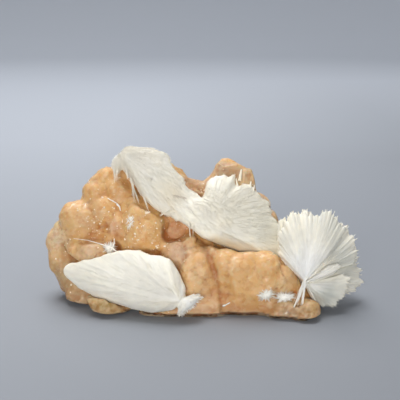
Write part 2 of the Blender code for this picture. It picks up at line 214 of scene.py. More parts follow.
# Bundles of fine hairs: foot, tip, number, how far the tips spread, and radius, in mm.
HANGING_HAIRS = [
    ((-50.6, -5.0, 75.0), (-50.0, -8.0, 67.6), 26, 1.0, 0.13),
    ((-48.6, -6.0, 74.0), (-49.2, -8.5, 69.0), 16, 0.8, 0.13),
    ((-43.4, -9.0, 74.6), (-42.4, -11.8, 69.4), 14, 0.7, 0.12),
    ((-41.2, -11.5, 70.2), (-36.4, -15.4, 57.4), 26, 0.9, 0.13),
    ((-40.6, -11.8, 68.6), (-38.6, -15.2, 57.2), 18, 0.8, 0.12),
    ((-39.6, -12.2, 67.2), (-40.0, -14.6, 60.6), 12, 0.7, 0.12),
    ((-33.6, -14.8, 60.4), (-31.0, -17.2, 53.0), 16, 0.7, 0.13),
    ((-20.0, -18.6, 54.2), (-25.4, -20.2, 51.4), 20, 0.8, 0.13),
    ((-17.0, -19.4, 53.2), (-22.4, -20.8, 52.2), 16, 0.7, 0.12),
    ((-9.2, -23.2, 48.4), (-8.6, -23.8, 40.6), 26, 0.5, 0.16),
    ((-6.8, -22.8, 47.0), (-7.4, -24.2, 41.4), 10, 0.5, 0.13),
]
FOOT_HAIRS = [
    ((52.4, -32.8, 17.6), (65.0, -36.2, 7.0), 40, 1.6, 0.2),
    ((52.6, -32.8, 17.8), (59.6, -36.5, 8.0), 24, 1.2, 0.18),
    ((52.2, -32.8, 19.0), (46.4, -40.4, 7.0), 26, 0.9, 0.16),
    ((52.4, -32.8, 19.0), (50.4, -40.6, 6.8), 26, 0.9, 0.16),
]

# Bent hairs on the stilbite: points in mm and radius.
STRANDS = [
    ([(-54.2, -8.3, 58.6), (-52.0, -9.4, 57.6), (-49.8, -10.0, 56.6), (-48.0, -10.8, 55.4),
      (-47.2, -11.4, 54.2)], 0.28),
    ([(-49.0, -10.4, 55.8), (-47.4, -11.2, 54.4), (-46.9, -11.8, 52.4)], 0.6),
    ([(-52.6, -17.8, 33.6), (-58.4, -17.6, 35.4), (-65.0, -15.4, 36.6), (-72.6, -13.6, 37.0)], 0.3),
    ([(-50.6, -20.4, 33.5), (-55.0, -19.4, 34.8), (-57.6, -18.8, 35.4)], 0.5),
    ([(-50.8, -20.4, 33.5), (-50.0, -19.6, 36.4), (-50.0, -19.2, 38.6)], 0.45),
    ([(-50.8, -20.4, 33.5), (-48.2, -20.2, 31.0), (-47.2, -20.4, 29.6)], 0.5),
    ([(-50.8, -20.4, 33.5), (-53.0, -20.6, 31.4), (-53.8, -20.8, 30.0)], 0.45),
    ([(8.8, -37.0, 6.7), (10.0, -38.0, 7.5), (12.4, -38.0, 8.9)], 0.6),
]

# Small bursts: solid, middle in mm, normal, width and height in mm, and seed.
TUFTS = [
    ("scolecite_tuft_ledge", (-52.6, -18.6, 33), (0, -0.8, 0.6), (3.0, 3.6), 21),
    ("scolecite_tuft_ball", (-41, -19.6, 48), (-0.4, -0.85, 0.3), (2.2, 3.2), 22),
    ("scolecite_tuft_block_left", (31.6, -38.2, 13.3), (0.1, -1, 0.1), (4.2, 2.8), 23),
    ("scolecite_tuft_block_right", (41.6, -35.6, 11.2), (0, -0.85, 0.45), (4.8, 2.6), 24),
]

# Where the colour of the scolecite changes: place in mm, reach in mm, colour and strength. Snow zones add
# painted light, and glassy and brown zones painted shade, each over the crystals' own colour.
SCOLECITE_ZONES = [
    ((5.3, -22.5, 37.6), 4.5, "cream", 0.8), ((11.5, -22.5, 36.0), 4.5, "cream", 0.8),
    ((17.3, -22.4, 34.6), 4.5, "cream", 0.8), ((24.0, -22.0, 33.4), 4.5, "cream", 0.8),
    ((31.0, -20.5, 32.6), 4.5, "cream", 0.75), ((38.0, -18.0, 31.6), 4.5, "cream", 0.6),
    # Brown spots: painted shade in a pit and a crevice of the fans.
    ((-29.7, -11.3, 69.9), 0.9, "brown", 0.9), ((-9.4, -22.5, 45.0), 1.6, "brown", 0.5),
    ((16.0, -10.0, 55.0), 22, "haze", 0.9), ((34.0, -14.0, 42.0), 18, "haze", 1.0),
    ((34.0, -14.0, 42.0), 15, "grey", 0.6), ((-22.0, -9.0, 68.0), 10, "haze", 0.6),
    # Glassy zones on the flower's rear: its own thinner, greyer bundles, with painted shade where that rear
    # lies in shade.
    ((-32.0, -9.0, 66.0), 12, "haze", 0.2), ((70.0, -20.0, 42.0), 15, "glassy_and_shade", 0.7),
    ((76.0, -16.0, 24.0), 16, "glassy_and_shade", 0.8), ((64.0, -33.0, 11.0), 12, "glassy_and_shade", 1.0),
    ((62.0, -14.0, 50.0), 14, "glassy_and_shade", 0.5), ((45.0, -28.0, 40.0), 9, "grey", 0.35),
    # Snow zones on the tail and the flower's front: partly their own white, partly painted light that
    # brightens them.
    ((-64.0, -28.5, 23.0), 7, "grey", 0.35), ((-8.0, -42.5, 10.0), 10, "snow", 1.0),
    ((-66.0, -30.0, 24.0), 14, "grey", 0.4), ((53.0, -33.0, 26.0), 14, "snow", 1.0),
    ((20.0, 4.0, 68.0), 4, "cream", 0.6), ((48.0, -38.0, 11.0), 8, "snow", 1.0),
    ((-19.0, -14.0, 62.5), 9, "cream", 0.3),
]

# A thin crevice in the upper left fan, painted brown: painted shade together with the brown stone that shows
# through; made of small zones in a row.
SCOLECITE_ZONES += [
    ((-17.4 + 0.6 * step, -15.6 + 0.08 * step, 61.8 - 0.15 * step), 0.75, "brown", 0.35)
    for step in range(12)
]


# Settings

def colour_property(name, description, default):
    """A colour that a user can change."""
    return FloatVectorProperty(name=name, description=description, default=default, size=3,
                               min=0.0, max=1.0, subtype="COLOR")


def length_property(name, description, default):
    """A length that a user can change, in metres."""
    return FloatProperty(name=name, description=description, default=default, min=0.0,
                         unit="LENGTH", precision=5)


def power_property(name, description, default):
    """The power of a light that a user can change."""
    return FloatProperty(name=name, description=description, default=default, min=0.0, unit="POWER")


class StilbiteSettings(bpy.types.PropertyGroup):
    """Sizes and colours of the stilbite"""
    grain: length_property("Grain", "Edge of the smallest facet that is modelled", 0.78 * MM)
    softness: IntProperty(name="Softness", description="Passes that round off the solid's facets",
                          default=6, min=0, max=60)
    lobes: FloatProperty(name="Lumps", description="How strongly the rounded lumps stand out",
                         default=1.0, min=0.0, max=2.0)
    undercut: length_property("Undercut", "Height over which the foot is drawn in under its edge", 3.0 * MM)
    crystal: length_property("Crystal size", "Width of the crystal ends on the lumps", 5.0 * MM)
    relief: length_property("Crystal relief", "How far the crystal ends stand out", 0.8 * MM)
    facet: length_property("Facet size", "Width of the small facets", 2.2 * MM)
    facet_relief: length_property("Facet relief", "How far the small facets stand out", 0.32 * MM)
    body: colour_property("Body", "Main honey colour", rgb(217, 172, 112))
    pale: colour_property("Pale", "Pale crystal faces", rgb(222, 199, 165))
    pink: colour_property("Pink", "Pinkish crystal faces", rgb(208, 166, 140))
    ash: colour_property("Ash", "Greyish parts at the back", rgb(180, 163, 143))
    # Dusk is painted shade: it darkens the left side, parts low down and a spot behind the upper fans.
    dusk: colour_property("Dusk", "Duller parts low down", rgb(172, 146, 108))
    olive: colour_property("Olive", "Yellow-green parts", rgb(158, 134, 70))
    # Amber is partly the stone's own staining and partly painted shade, in hollows, creases, low down and in
    # recess zones.
    amber: colour_property("Amber", "Deep orange-brown recesses", rgb(178, 110, 57))
    # Umber is painted shade: in the cracks, and over the foot under the base's edge.
    umber: colour_property("Umber", "Dark cracks and the foot", rgb(40, 26, 20))
    light_depth: length_property("Light depth", "How deep light spreads in the crystals", 4.5 * MM)


class ScoleciteSettings(bpy.types.PropertyGroup):
    """Sizes and colours of the scolecite"""
    needle: length_property("Needle radius", "Radius of a fan's fine needles", 0.1 * MM)
    density: FloatProperty(name="Density", description="Fine needles for each mm of a fan's rim",
                           default=9.0, min=0.0)
    ivory: colour_property("Ivory", "Main colour of the fans", rgb(255, 248, 231))
    grey: colour_property("Grey", "Glassy, thinner parts of the fans", rgb(228, 224, 208))
    # Partly the thin bundles' own grey and partly painted shade on the flower's rear.
    glassy_and_shade: colour_property("Glassy", "Thin, glassy bundles at the back", rgb(196, 197, 188))
    haze: colour_property("Haze", "Milky, greenish-white parts", rgb(235, 228, 208))
    # Snow is partly the crystals' own white and partly painted light: it brightens the flower's front, the
    # tail and the small bursts.
    snow: colour_property("Snow", "Whitest crystals", rgb(255, 253, 246))
    cream: colour_property("Cream", "Warm edges of the fans", rgb(226, 200, 150))
    # Brown is painted shade in the fans' crevices and a small pit, with the brown of the stone beneath.
    brown: colour_property("Brown", "Dark crevices in the fans", rgb(120, 84, 60))
    light_depth: length_property("Light depth", "How deep light spreads between the needles", 0.8 * MM)


class StageSettings(bpy.types.PropertyGroup):
    """Sizes, colour and lights of the stage"""
    floor: colour_property("Floor", "Colour of the floor and backdrop", rgb(185, 190, 198))
    flat_radius: length_property("Flat radius", "How far the flat floor reaches", 1.2)
    wall_radius: length_property("Wall radius", "How far out the backdrop stands", 2.4)
    key: power_property("Key light", "Power of the large light in front", 14.0)
    fill: power_property("Fill light", "Power of the light on the right", 2.0)
    top: power_property("Top light", "Power of the light overhead", 14.0)
    back: power_property("Back light", "Power of the light high up behind", 12.0)
    sky: FloatProperty(name="Sky", description="Strength of the even light from all round",
                       default=0.3, min=0.0)


# Mesh helpers

def add_object(name, mesh):
    """Puts a mesh, a light or a camera in the scene."""
    thing = bpy.data.objects.new(name, mesh)
    bpy.context.scene.collection.objects.link(thing)
    return thing


def mesh_from(bm, name):
    """Turns a bmesh into a mesh and frees it."""
    mesh = bpy.data.meshes.new(name)
    bm.to_mesh(mesh)
    bm.free()
    return mesh


def ball_mesh(name, subdivisions):
    """A ball of radius one."""
    bm = bmesh.new()
    bmesh.ops.create_icosphere(bm, subdivisions=subdivisions, radius=1.0)
    return mesh_from(bm, name)


def read_rows(items, name, kind, width):
    """One property of all points or edges, a row for each."""
    values = np.empty(len(items) * width, kind)
    items.foreach_get(name, values)
    return values.reshape(-1, width)


def points_of(mesh):
    """The places of a mesh's points, in metres."""
    return read_rows(mesh.vertices, "co", float, 3)


def normals_of(mesh):
    """The directions in which a mesh's points face."""
    return read_rows(mesh.vertices, "normal", float, 3)


def edges_of(mesh):
    """The two points of each edge."""
    return read_rows(mesh.edges, "vertices", np.int32, 2)


def set_points(mesh, co):
    """Moves a mesh's points to places in metres."""
    mesh.vertices.foreach_set("co", np.ascontiguousarray(co, dtype=np.float32).ravel())
    mesh.update()


def set_value(mesh, name, values):
    """Keeps one number for each point, for the materials."""
    layer = mesh.attributes.get(name) or mesh.attributes.new(name, "FLOAT", "POINT")
    layer.data.foreach_set("value", np.ascontiguousarray(values, dtype=np.float32))


def set_tint(mesh, colours):
    """Keeps one colour for each point, for the materials."""
    layer = mesh.attributes.get("tint") or mesh.attributes.new("tint", "FLOAT_COLOR", "POINT")
    full = np.ones((len(colours), 4), np.float32)
    full[:, :3] = colours
    layer.data.foreach_set("color", full.ravel())


def drawn_to_one(vectors):
    """Vectors, or one vector, with their length made one."""
    return vectors / np.linalg.norm(vectors, axis=-1, keepdims=True)


def distances(co, place):
    """How far points are from a place."""
    return np.linalg.norm(co - np.array(place), axis=1)


def smoothed(co, edges, passes):
    """Points drawn halfway to the mean of their neighbours, once for each pass."""
    count = len(co)
    joined = np.bincount(edges.ravel(), minlength=count)[:, None]
    for _ in range(passes):
        total = np.stack([np.bincount(edges[:, 0], co[edges[:, 1], axis], count)
                          + np.bincount(edges[:, 1], co[edges[:, 0], axis], count)
                          for axis in range(co.shape[1])], axis=1)
        co = 0.5 * co + 0.5 * total / np.maximum(joined, 1)
    return co


def join(pieces):
    """Joins objects into the first of them."""
    with bpy.context.temp_override(active_object=pieces[0], object=pieces[0],
                                   selected_objects=pieces, selected_editable_objects=pieces):
        bpy.ops.object.join()
    return pieces[0]


def settle(thing):
    """Replaces an object's mesh by what its modifiers make of it."""
    graph = bpy.context.evaluated_depsgraph_get()
    thing.data = bpy.data.meshes.new_from_object(thing.evaluated_get(graph))
    thing.modifiers.clear()
    return thing


def reskin(thing, grain):
    """Gives an object one even, closed skin over all its parts."""
    skin = thing.modifiers.new("skin", "REMESH")
    skin.mode = "VOXEL"
    skin.voxel_size = grain
    return settle(thing)


def painted(mesh, base, zones, settings):
    """A colour for each point, from zones: place in mm, reach in mm, name of the colour, and strength."""
    co = points_of(mesh) / MM
    colours = np.tile(np.array(base), (len(co), 1))
    for place, reach, tint, strength in zones:
        share = strength * np.clip(ZONE_EDGE - distances(co, place) / reach, 0.0, 1.0)[:, None]
        colours = colours * (1.0 - share) + np.array(getattr(settings, tint)) * share
    return colours


def finish_piece(piece, slot, material, *nodes):
    """Gives a piece its finish and lets it stand for its solids, if it has any."""
    piece.data.materials.clear()
    piece.data.materials.append(material)
    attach(piece, "root")
    if nodes:
        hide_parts(*nodes)


# Fans in detail

def random_line(rng, length, width):
    """Random heights along a length, one for about each width, as a function of the distance."""
    places = np.arange(0.0, length + 2.0 * width, width)
    places = places + rng.uniform(-0.35, 0.35, len(places)) * width
    heights = rng.uniform(-1.0, 1.0, len(places))
    return lambda distance: np.interp(distance, places, heights)


class FanShape:
    """Works out where each point of a fan lies, from its turn along the rim and share of the way out."""

    def __init__(self, spec):
        self.spec = spec
        rng = np.random.default_rng(spec["seed"])
        self.angles = np.array([angle for angle, _ in spec["rim"]], float)
        self.reach = np.array([reach for _, reach in spec["rim"]], float)
        turned = np.radians(self.angles)
        self.rim = np.stack([np.cos(turned) * self.reach, np.sin(turned) * self.reach], axis=1)
        self.run = np.concatenate([[0.0], np.cumsum(np.linalg.norm(np.diff(self.rim, axis=0), axis=1))])
        self.length = self.run[-1]
        self.root = np.array(spec["root"], float)
        self.normal = drawn_to_one(np.array(spec["normal"], float))
        self.across = drawn_to_one(np.array((1.0, 0.0, 0.0)) - self.normal * self.normal[0])
        self.upward = np.cross(self.normal, self.across)
        self.phase = rng.uniform(0.0, math.tau)
        self.teeth = [(random_line(rng, self.length, width), out) for width, out in TEETH]
        self.ridges = [(random_line(rng, self.length, width), random_line(rng, self.length, width), depth)
                       for width, depth in RIDGES]

    def carve(self, at, share):
        """How far the ridges stand out, in mm."""
        blend = share ** 2 * (3.0 - 2.0 * share)
        ridge = sum(((1.0 - blend) * inner(at) + blend * outer(at)) * depth
                    for inner, outer, depth in self.ridges)
        return self.spec["grooves"] * ridge * np.clip(share / RIDGE_START, 0.0, 1.0)

    def place(self, turn, share, side, lift=0.0, carved=1.0):
        """Points in mm. side is 1 on the front and -1 on the back, lift raises them off the face."""
        spec = self.spec
        at = turn * self.length
        rim = np.stack([np.interp(at, self.run, self.rim[:, 0]), np.interp(at, self.run, self.rim[:, 1])], 1)
        tooth = spec["tooth"] * (sum(line(at) * out for line, out in self.teeth) - TEETH_BACK)
        reach = rim * (share * (1.0 + tooth * share ** 4))[:, None]
        edge = (1.0 - SIDE_SHARE) * (2.0 * turn - 1.0) ** SIDE_POWER * np.minimum(1.0, share / SIDE_START)
        along = np.clip(ARCH_START + (ARCH_END - ARCH_START) * share, 0.0, 1.0)
        rise = np.sin(math.pi * along) ** ARCH_POWER
        fold = 1.0 + spec["fold"] * np.sin(self.phase + FOLD_TURNS * turn) * share
        depth = np.where(side > 0, spec["bulge"] * fold, spec["backing"])
        lip = LIP * (1.0 - LIP_LOSS * share ** 6)
        height = lip + depth * rise * (1.0 - edge) + carved * self.carve(at, np.clip(share, 0.0, 1.0))
        height = np.maximum(height, LEAST_HEIGHT) * side + lift
        return (self.root + reach[:, :1] * self.across + reach[:, 1:] * self.upward
                + height[:, None] * self.normal)

    def locate(self, co):
        """Where points in mm lie: the distance along the rim and the share of the way out to it."""
        away = co - self.root
        sideways, up = away @ self.across, away @ self.upward
        first, last = self.angles.min(), self.angles.max()
        middle = (first + last) / 2.0
        angle = middle + (np.degrees(np.arctan2(up, sideways)) - middle + 180.0) % 360.0 - 180.0
        order = np.argsort(self.angles)
        outside = np.maximum(0.0, np.maximum(first - angle, angle - last))
        share = np.hypot(sideways, up) / np.interp(angle, self.angles[order], self.reach[order])
        at = np.interp(angle, self.angles[order], self.run[order])
        return at, share * (1.0 + outside / OUTSIDE_ANGLE)


def mark_rays(mesh, across, along, shade):
    """Keeps where each point lies across and along the needles, for the materials."""
    set_value(mesh, "across", across)
    set_value(mesh, "along", along)
    set_value(mesh, "shade", shade)


def fan_sheet(name, shape, carved=1.0):
    """The closed body of a fan, with fine ridges along its rays."""
    bm = bmesh.new()
    rays = max(FEWEST_RAYS, int(shape.length / RAY_WIDTH))
    bmesh.ops.create_grid(bm, x_segments=rays, y_segments=RINGS, size=0.5)
    front = bmesh.ops.extrude_face_region(bm, geom=bm.faces[:])["geom"]
    raised = [part for part in front if isinstance(part, bmesh.types.BMVert)]
    bmesh.ops.translate(bm, vec=(0, 0, 1), verts=raised)
    mesh = mesh_from(bm, name)
    grid = points_of(mesh)
    turn, share = grid[:, 0] + 0.5, grid[:, 1] + 0.5
    side = np.where(grid[:, 2] > 0.5, 1.0, -1.0)
    set_points(mesh, shape.place(turn, share, side, carved=carved) * MM)
    mark_rays(mesh, turn * shape.length, share * shape.reach.mean(), np.full(len(grid), shape.phase))
    bm = bmesh.new()
    bm.from_mesh(mesh)
    bmesh.ops.remove_doubles(bm, verts=bm.verts, dist=0.0005 * MM)
    bmesh.ops.recalc_face_normals(bm, faces=bm.faces)
    bm.to_mesh(mesh)
    bm.free()
    return add_object(name, mesh)


def swelling(name, middle, radii, normal):
    """A smooth ball drawn out along three axes, the last of them its normal. Lengths in mm."""
    facing = drawn_to_one(np.array(normal, float))
    one = drawn_to_one(np.array((1.0, 0.0, 0.0)) - facing * facing[0])
    axes = np.stack([one, np.cross(facing, one), facing])
    mesh = ball_mesh(name, 4)
    set_points(mesh, (np.array(middle) + points_of(mesh) * np.array(radii) @ axes) * MM)
    return add_object(name, mesh)


def fused_sheets(name, shapes, swells):
    """One skin over fans that have grown into each other, with their ridges carved into it."""
    parts = [fan_sheet(f"{name}_{number}", shape, 0.0) for number, shape in enumerate(shapes)]
    parts += [swelling(f"{name}_swell_{number}", *swell) for number, swell in enumerate(swells)]
    piece = reskin(join(parts), SKIN_GRAIN * MM)
    mesh = piece.data
    edges = edges_of(mesh)
    co = smoothed(points_of(mesh), edges, SKIN_PASSES)
    for place, reach in CALM_FANS:
        share = np.exp(-(distances(co / MM, place) / reach) ** 4)[:, None]
        co = co * (1.0 - share) + smoothed(co, edges, CALM_PASSES) * share
    set_points(mesh, co)
    normals = normals_of(mesh)
    found = [shape.locate(co / MM) for shape in shapes]
    nearest = np.argmin([share for _, share in found], axis=0)
    out, across, along, shade = np.zeros((4, len(co)))
    for number, (shape, (at, share)) in enumerate(zip(shapes, found)):
        chosen = nearest == number
        out[chosen] = shape.carve(at, np.clip(share, 0.0, 1.0))[chosen]
        across[chosen] = at[chosen]
        along[chosen] = (share * shape.reach.mean())[chosen]
        shade[chosen] = shape.phase
    out = smoothed(out[:, None], edges, 1)
    set_points(mesh, co + normals * (out * MM))
    mark_rays(mesh, across, along, shade)
    return piece


def needles(name, feet, tips, radii, shades, taper=0.3, sides=3):
    """Many separate slim crystals, each a closed cone with a blunt tip. Points and radii in mm."""
    count = len(feet)
    bm = bmesh.new()
    bmesh.ops.create_cone(bm, segments=sides, radius1=1.0, radius2=1.0, depth=1.0, cap_ends=True,
                          cap_tris=False)
    bmesh.ops.translate(bm, vec=(0, 0, 0.5), verts=bm.verts)
    each = len(bm.verts)
    piece = add_object(name, mesh_from(bm, name))
    copies = piece.modifiers.new("copies", "ARRAY")
    copies.use_relative_offset = False
    copies.count = count
    mesh = settle(piece).data
    cone = points_of(mesh).reshape(count, each, 3)
    axis = tips - feet
    reach = np.linalg.norm(axis, axis=1, keepdims=True)
    axis = axis / np.maximum(reach, 1e-9)
    helper = np.where(np.abs(axis[:, 2:]) < 0.9, np.array([[0.0, 0.0, 1.0]]), np.array([[1.0, 0.0, 0.0]]))
    one = drawn_to_one(np.cross(axis, helper))
    two = np.cross(axis, one)
    rise = cone[:, :, 2:]
    width = radii[:, None, None] * (1.0 - (1.0 - taper) * rise)
    co = (feet[:, None] + axis[:, None] * reach[:, None] * rise
          + one[:, None] * cone[:, :, :1] * width + two[:, None] * cone[:, :, 1:2] * width)
    set_points(mesh, co.reshape(-1, 3) * MM)
    mark_rays(mesh, np.repeat(np.arange(count) * RAY_STEP, each), (cone[:, :, 2] * reach).ravel(),
              np.repeat(shades, each))
    return piece


def fringe(name, shape):
    """Needles that stand out at a fan's rim, some short and some long."""
    count, radius, out = shape.spec["fringe"]
    rng = np.random.default_rng(shape.spec["seed"] + 100)
    turn = rng.uniform(0.01, 0.99, count)
    side = rng.uniform(0.12, 0.88, count)[:, None]
    rim, inner = [(1.0 - side) * shape.place(turn, share, -np.ones(count))
                  + side * shape.place(turn, share, np.ones(count))
                  for share in (np.full(count, 0.985), np.full(count, 0.84))]
    way = drawn_to_one(rim - inner)
    tips = rim + way * (out * rng.uniform(0.05, 1.0, count) ** 1.5)[:, None]
    tips += rng.normal(0, 0.12 * out, (count, 3))
    feet = rim - way * rng.uniform(2.0, 5.0, count)[:, None]
    return needles(name, feet, tips, radius * rng.uniform(0.6, 1.3, count), rng.uniform(-1, 1, count),
                   taper=0.45, sides=3 if radius < THICK_NEEDLE else 4)


def lying_needles(name, shape, count, radius):
    """Fine needles that lie on a fan's faces along its rays."""
    rng = np.random.default_rng(shape.spec["seed"] + 200)
    turn = rng.uniform(0.02, 0.98, count)
    start = rng.uniform(0.02, 0.85, count) ** 0.8
    stop = np.minimum(start + rng.uniform(0.1, 0.4, count), 0.99)
    side = np.where(rng.uniform(size=count) < 0.7, 1.0, -1.0)
    feet = shape.place(turn, start, side, -0.5 * radius * side)
    tips = shape.place(np.clip(turn + rng.normal(0, 0.003, count), 0, 1), stop, side,
                       rng.uniform(-0.5, 0.8, count) * radius * side)
    return needles(name, feet, tips, radius * rng.uniform(0.6, 1.3, count), rng.uniform(-1, 1, count))


def needle_bundles(name, bundles, rng, taper):
    """One piece from bundles of needles, each its feet, tips and radii."""
    feet, tips, radii = [np.concatenate(part) for part in zip(*bundles)]
    return needles(name, feet, tips, radii, rng.uniform(-1, 1, len(feet)), taper)


def combed_hairs(name, mesh, shapes, places, seed):
    """Fine hairs that lie on a skin near some places, along the rays of the fans."""
    rng = np.random.default_rng(seed)
    co, normals = points_of(mesh) / MM, normals_of(mesh)
    bundles = []
    for number, place, reach, count, radius in places:
        shape = shapes[number]
        weight = np.exp(-(distances(co, place) / reach) ** 2) * (np.abs(normals @ shape.normal) > 0.3)
        chosen = rng.choice(len(co), count, replace=False, p=weight / weight.sum())
        facing = normals[chosen]
        way = co[chosen] - shape.root + rng.normal(0, 1.5, (count, 3))
        way = drawn_to_one(way - facing * (way * facing).sum(axis=1, keepdims=True))
        half = way * rng.uniform(0.8, 2.8, count)[:, None]
        foot = co[chosen] - half - facing * 0.6 * radius
        tip = co[chosen] + half + facing * rng.uniform(-0.3, 1.0, (count, 1)) * radius
        bundles.append((foot, tip, radius * rng.uniform(0.6, 1.4, count)))
    return needle_bundles(name, bundles, rng, 0.3)


def whiskers(name, places, seed):
    """Bundles of fine hairs: foot, tip, number, how far the tips spread, and radius of each."""
    rng = np.random.default_rng(seed)
    bundles = []
    for foot, tip, count, spread, radius in places:
        start, stop = np.array(foot, float), np.array(tip, float)
        reach = rng.uniform(0.55, 1.0, count)[:, None]
        feet = start + rng.normal(0, 0.35 * spread, (count, 3))
        tips = start + (stop - start) * reach + rng.normal(0, 0.5 * spread, (count, 3)) * reach
        bundles.append((feet, tips, radius * rng.uniform(0.7, 1.3, count)))
    return needle_bundles(name, bundles, rng, 0.25)


def strand(name, points, radius):
    """A bent hair."""
    line = np.array(points, float)
    overlap = (line[1:] - line[:-1]) * 0.04
    radii = radius * np.linspace(1.0, 0.6, len(line) - 1)
    return needles(name, line[:-1], line[1:] + overlap, radii, np.zeros(len(radii)), taper=0.85, sides=5)


def spikes(name, places):
    """Slim crystals that stand alone: foot, tip and radius of each."""
    feet, tips, radii = [np.array(part, float) for part in zip(*places)]
    return needles(name, feet, tips, radii, np.zeros(len(radii)), taper=0.35, sides=6)


def burst(name, centre, facing, size, count, rng, radius):
    """A lumpy white heart with needles that spread from it over a surface, wide and high in mm."""
    wide, high = size
    deep = HEART_DEPTH * min(wide, high)
    centre = np.array(centre, float)
    facing = drawn_to_one(np.array(facing, float))
    one = drawn_to_one(np.cross(facing, (0.0, 0.0, 1.0)))
    two = np.cross(facing, one)
    ways = drawn_to_one(rng.normal(size=(count, 3)))
    reach = 0.4 + 1.1 * rng.uniform(size=count)[:, None] ** 2
    tips = (centre + one * ways[:, :1] * wide * reach + two * ways[:, 1:2] * high * reach
            + facing * (np.abs(ways[:, 2:]) * deep * reach + 0.3))
    feet = centre + (tips - centre) * rng.uniform(0.0, 0.3, count)[:, None]
    hairs = needles(name, feet, tips, radius * rng.uniform(1.6, 3.4, count), rng.uniform(-1, 1, count),
                    taper=0.35)
    heart = ball_mesh(name + "_heart", 4)
    ball = points_of(heart)
    rough = np.array([noise.noise(point * 3.1 + Vector(centre)) + 0.5 * noise.noise(point * 8.0)
                      for point in map(Vector, ball)])
    ball = ball * (1.0 + HEART_ROUGHNESS * rough)[:, None]
    co = (centre + one * ball[:, :1] * 0.5 * wide + two * ball[:, 1:2] * 0.5 * high
          + facing * ball[:, 2:] * deep)
    set_points(heart, co * MM)
    mark_rays(heart, ball[:, 0] * 9.0, ball[:, 1], np.zeros(len(ball)))
    return join([hairs, add_object(name + "_heart", heart)])


# Stilbite in detail

# Where the colour of the stilbite changes: place in mm, reach in mm, colour and strength. Dusk zones are
# painted shade on the left side, low down and behind the upper fans; amber zones in recesses are painted
# shade together with the stone's own staining.
STILBITE_ZONES = [
    ((-55.5, 0.1, 70.9), 9, "body", 0.5), ((-83.4, -6.4, 35.4), 10, "pale", 0.9),
    ((-77.8, -7.4, 29.2), 4, "olive", 0.7), ((-51.2, -16.8, 43.1), 6, "pink", 0.7),
    ((-16.7, -12.5, 41.8), 8, "amber", 0.6), ((-18.8, -16.6, 38.4), 5, "amber", 0.7),
    ((-75.7, -7.8, 25.2), 6, "amber", 0.6), ((-80.3, -13.3, 14.6), 13, "dusk", 0.9),
    ((-62.6, -20.6, 30.5), 10, "ash", 0.6), ((-69.6, -23.4, 5.9), 11, "dusk", 0.7),
    ((-52.6, -38.6, 5.9), 13, "olive", 0.95), ((-15.3, -26.3, 32.3), 9, "pink", 0.7),
    ((-15.3, -26.3, 32.3), 9, "ash", 0.4), ((-5.5, -35.3, 20.6), 9, "pale", 0.35),
    ((0.9, -26.3, 33.4), 6, "pink", 0.5), ((-3.4, -38.5, 5.9), 12, "pale", 0.5),
    ((44.7, -24.5, 22.5), 11, "pale", 0.5), ((50.7, -44.8, 3.9), 11, "olive", 0.9),
    ((44.4, -41.8, 4.9), 12, "dusk", 0.9), ((-67.6, -14.0, 50.6), 12, "dusk", 0.3),
    ((40.0, -37.0, 15.0), 7, "pale", 0.4), ((21.0, 8.2, 68.5), 7, "ash", 0.6),
    ((9.1, 7.0, 71.7), 9, "ash", 0.85), ((-5.7, 6.1, 60.2), 11, "ash", 0.9),
    ((-5.7, 6.1, 60.2), 10, "dusk", 0.9), ((-5.7, 6.1, 60.2), 10, "amber", 0.35),
    ((31.1, 8.0, 54.5), 11, "ash", 0.8), ((38.0, 8.0, 46.0), 8, "ash", 0.7),
    ((-46.6, -7.3, 62.8), 8, "amber", 0.25), ((-6.7, -11.0, 42.0), 4, "amber", 0.8),
    ((-63.7, -10.2, 38.8), 6, "amber", 0.35), ((-30.0, 28.0, 30.0), 17, "pink", 0.6),
    ((20.0, 22.0, 30.0), 16, "ash", 0.5), ((-60.0, 15.0, 30.0), 15, "pale", 0.5),
    ((42.0, 8.0, 30.0), 13, "amber", 0.35), ((0.0, 20.0, 58.0), 13, "pale", 0.45),
    ((-5.0, 32.0, 14.0), 14, "dusk", 0.6), ((-50.0, 12.0, 62.0), 12, "ash", 0.4),
    ((-45.0, 26.0, 10.0), 12, "olive", 0.4),
]

# Cracks in the front, sunk and painted darker as the shade in them: points (x, z) in mm, width and depth in
# mm.
CRACKS = [
    ([(-4.0, 38.0), (0.4, 34.6), (3.0, 28.1), (5.0, 21.0), (5.7, 17.8), (7.8, 8.7), (8.6, 5.0),
      (9.0, 0.0)], 1.5, 1.2),
    ([(39.5, 27.0), (41.0, 22.9), (43.0, 19.5)], 0.5, 0.3),
    ([(-11.5, 33.0), (-13.5, 26.0), (-12.5, 18.0)], 1.3, 0.5),
]

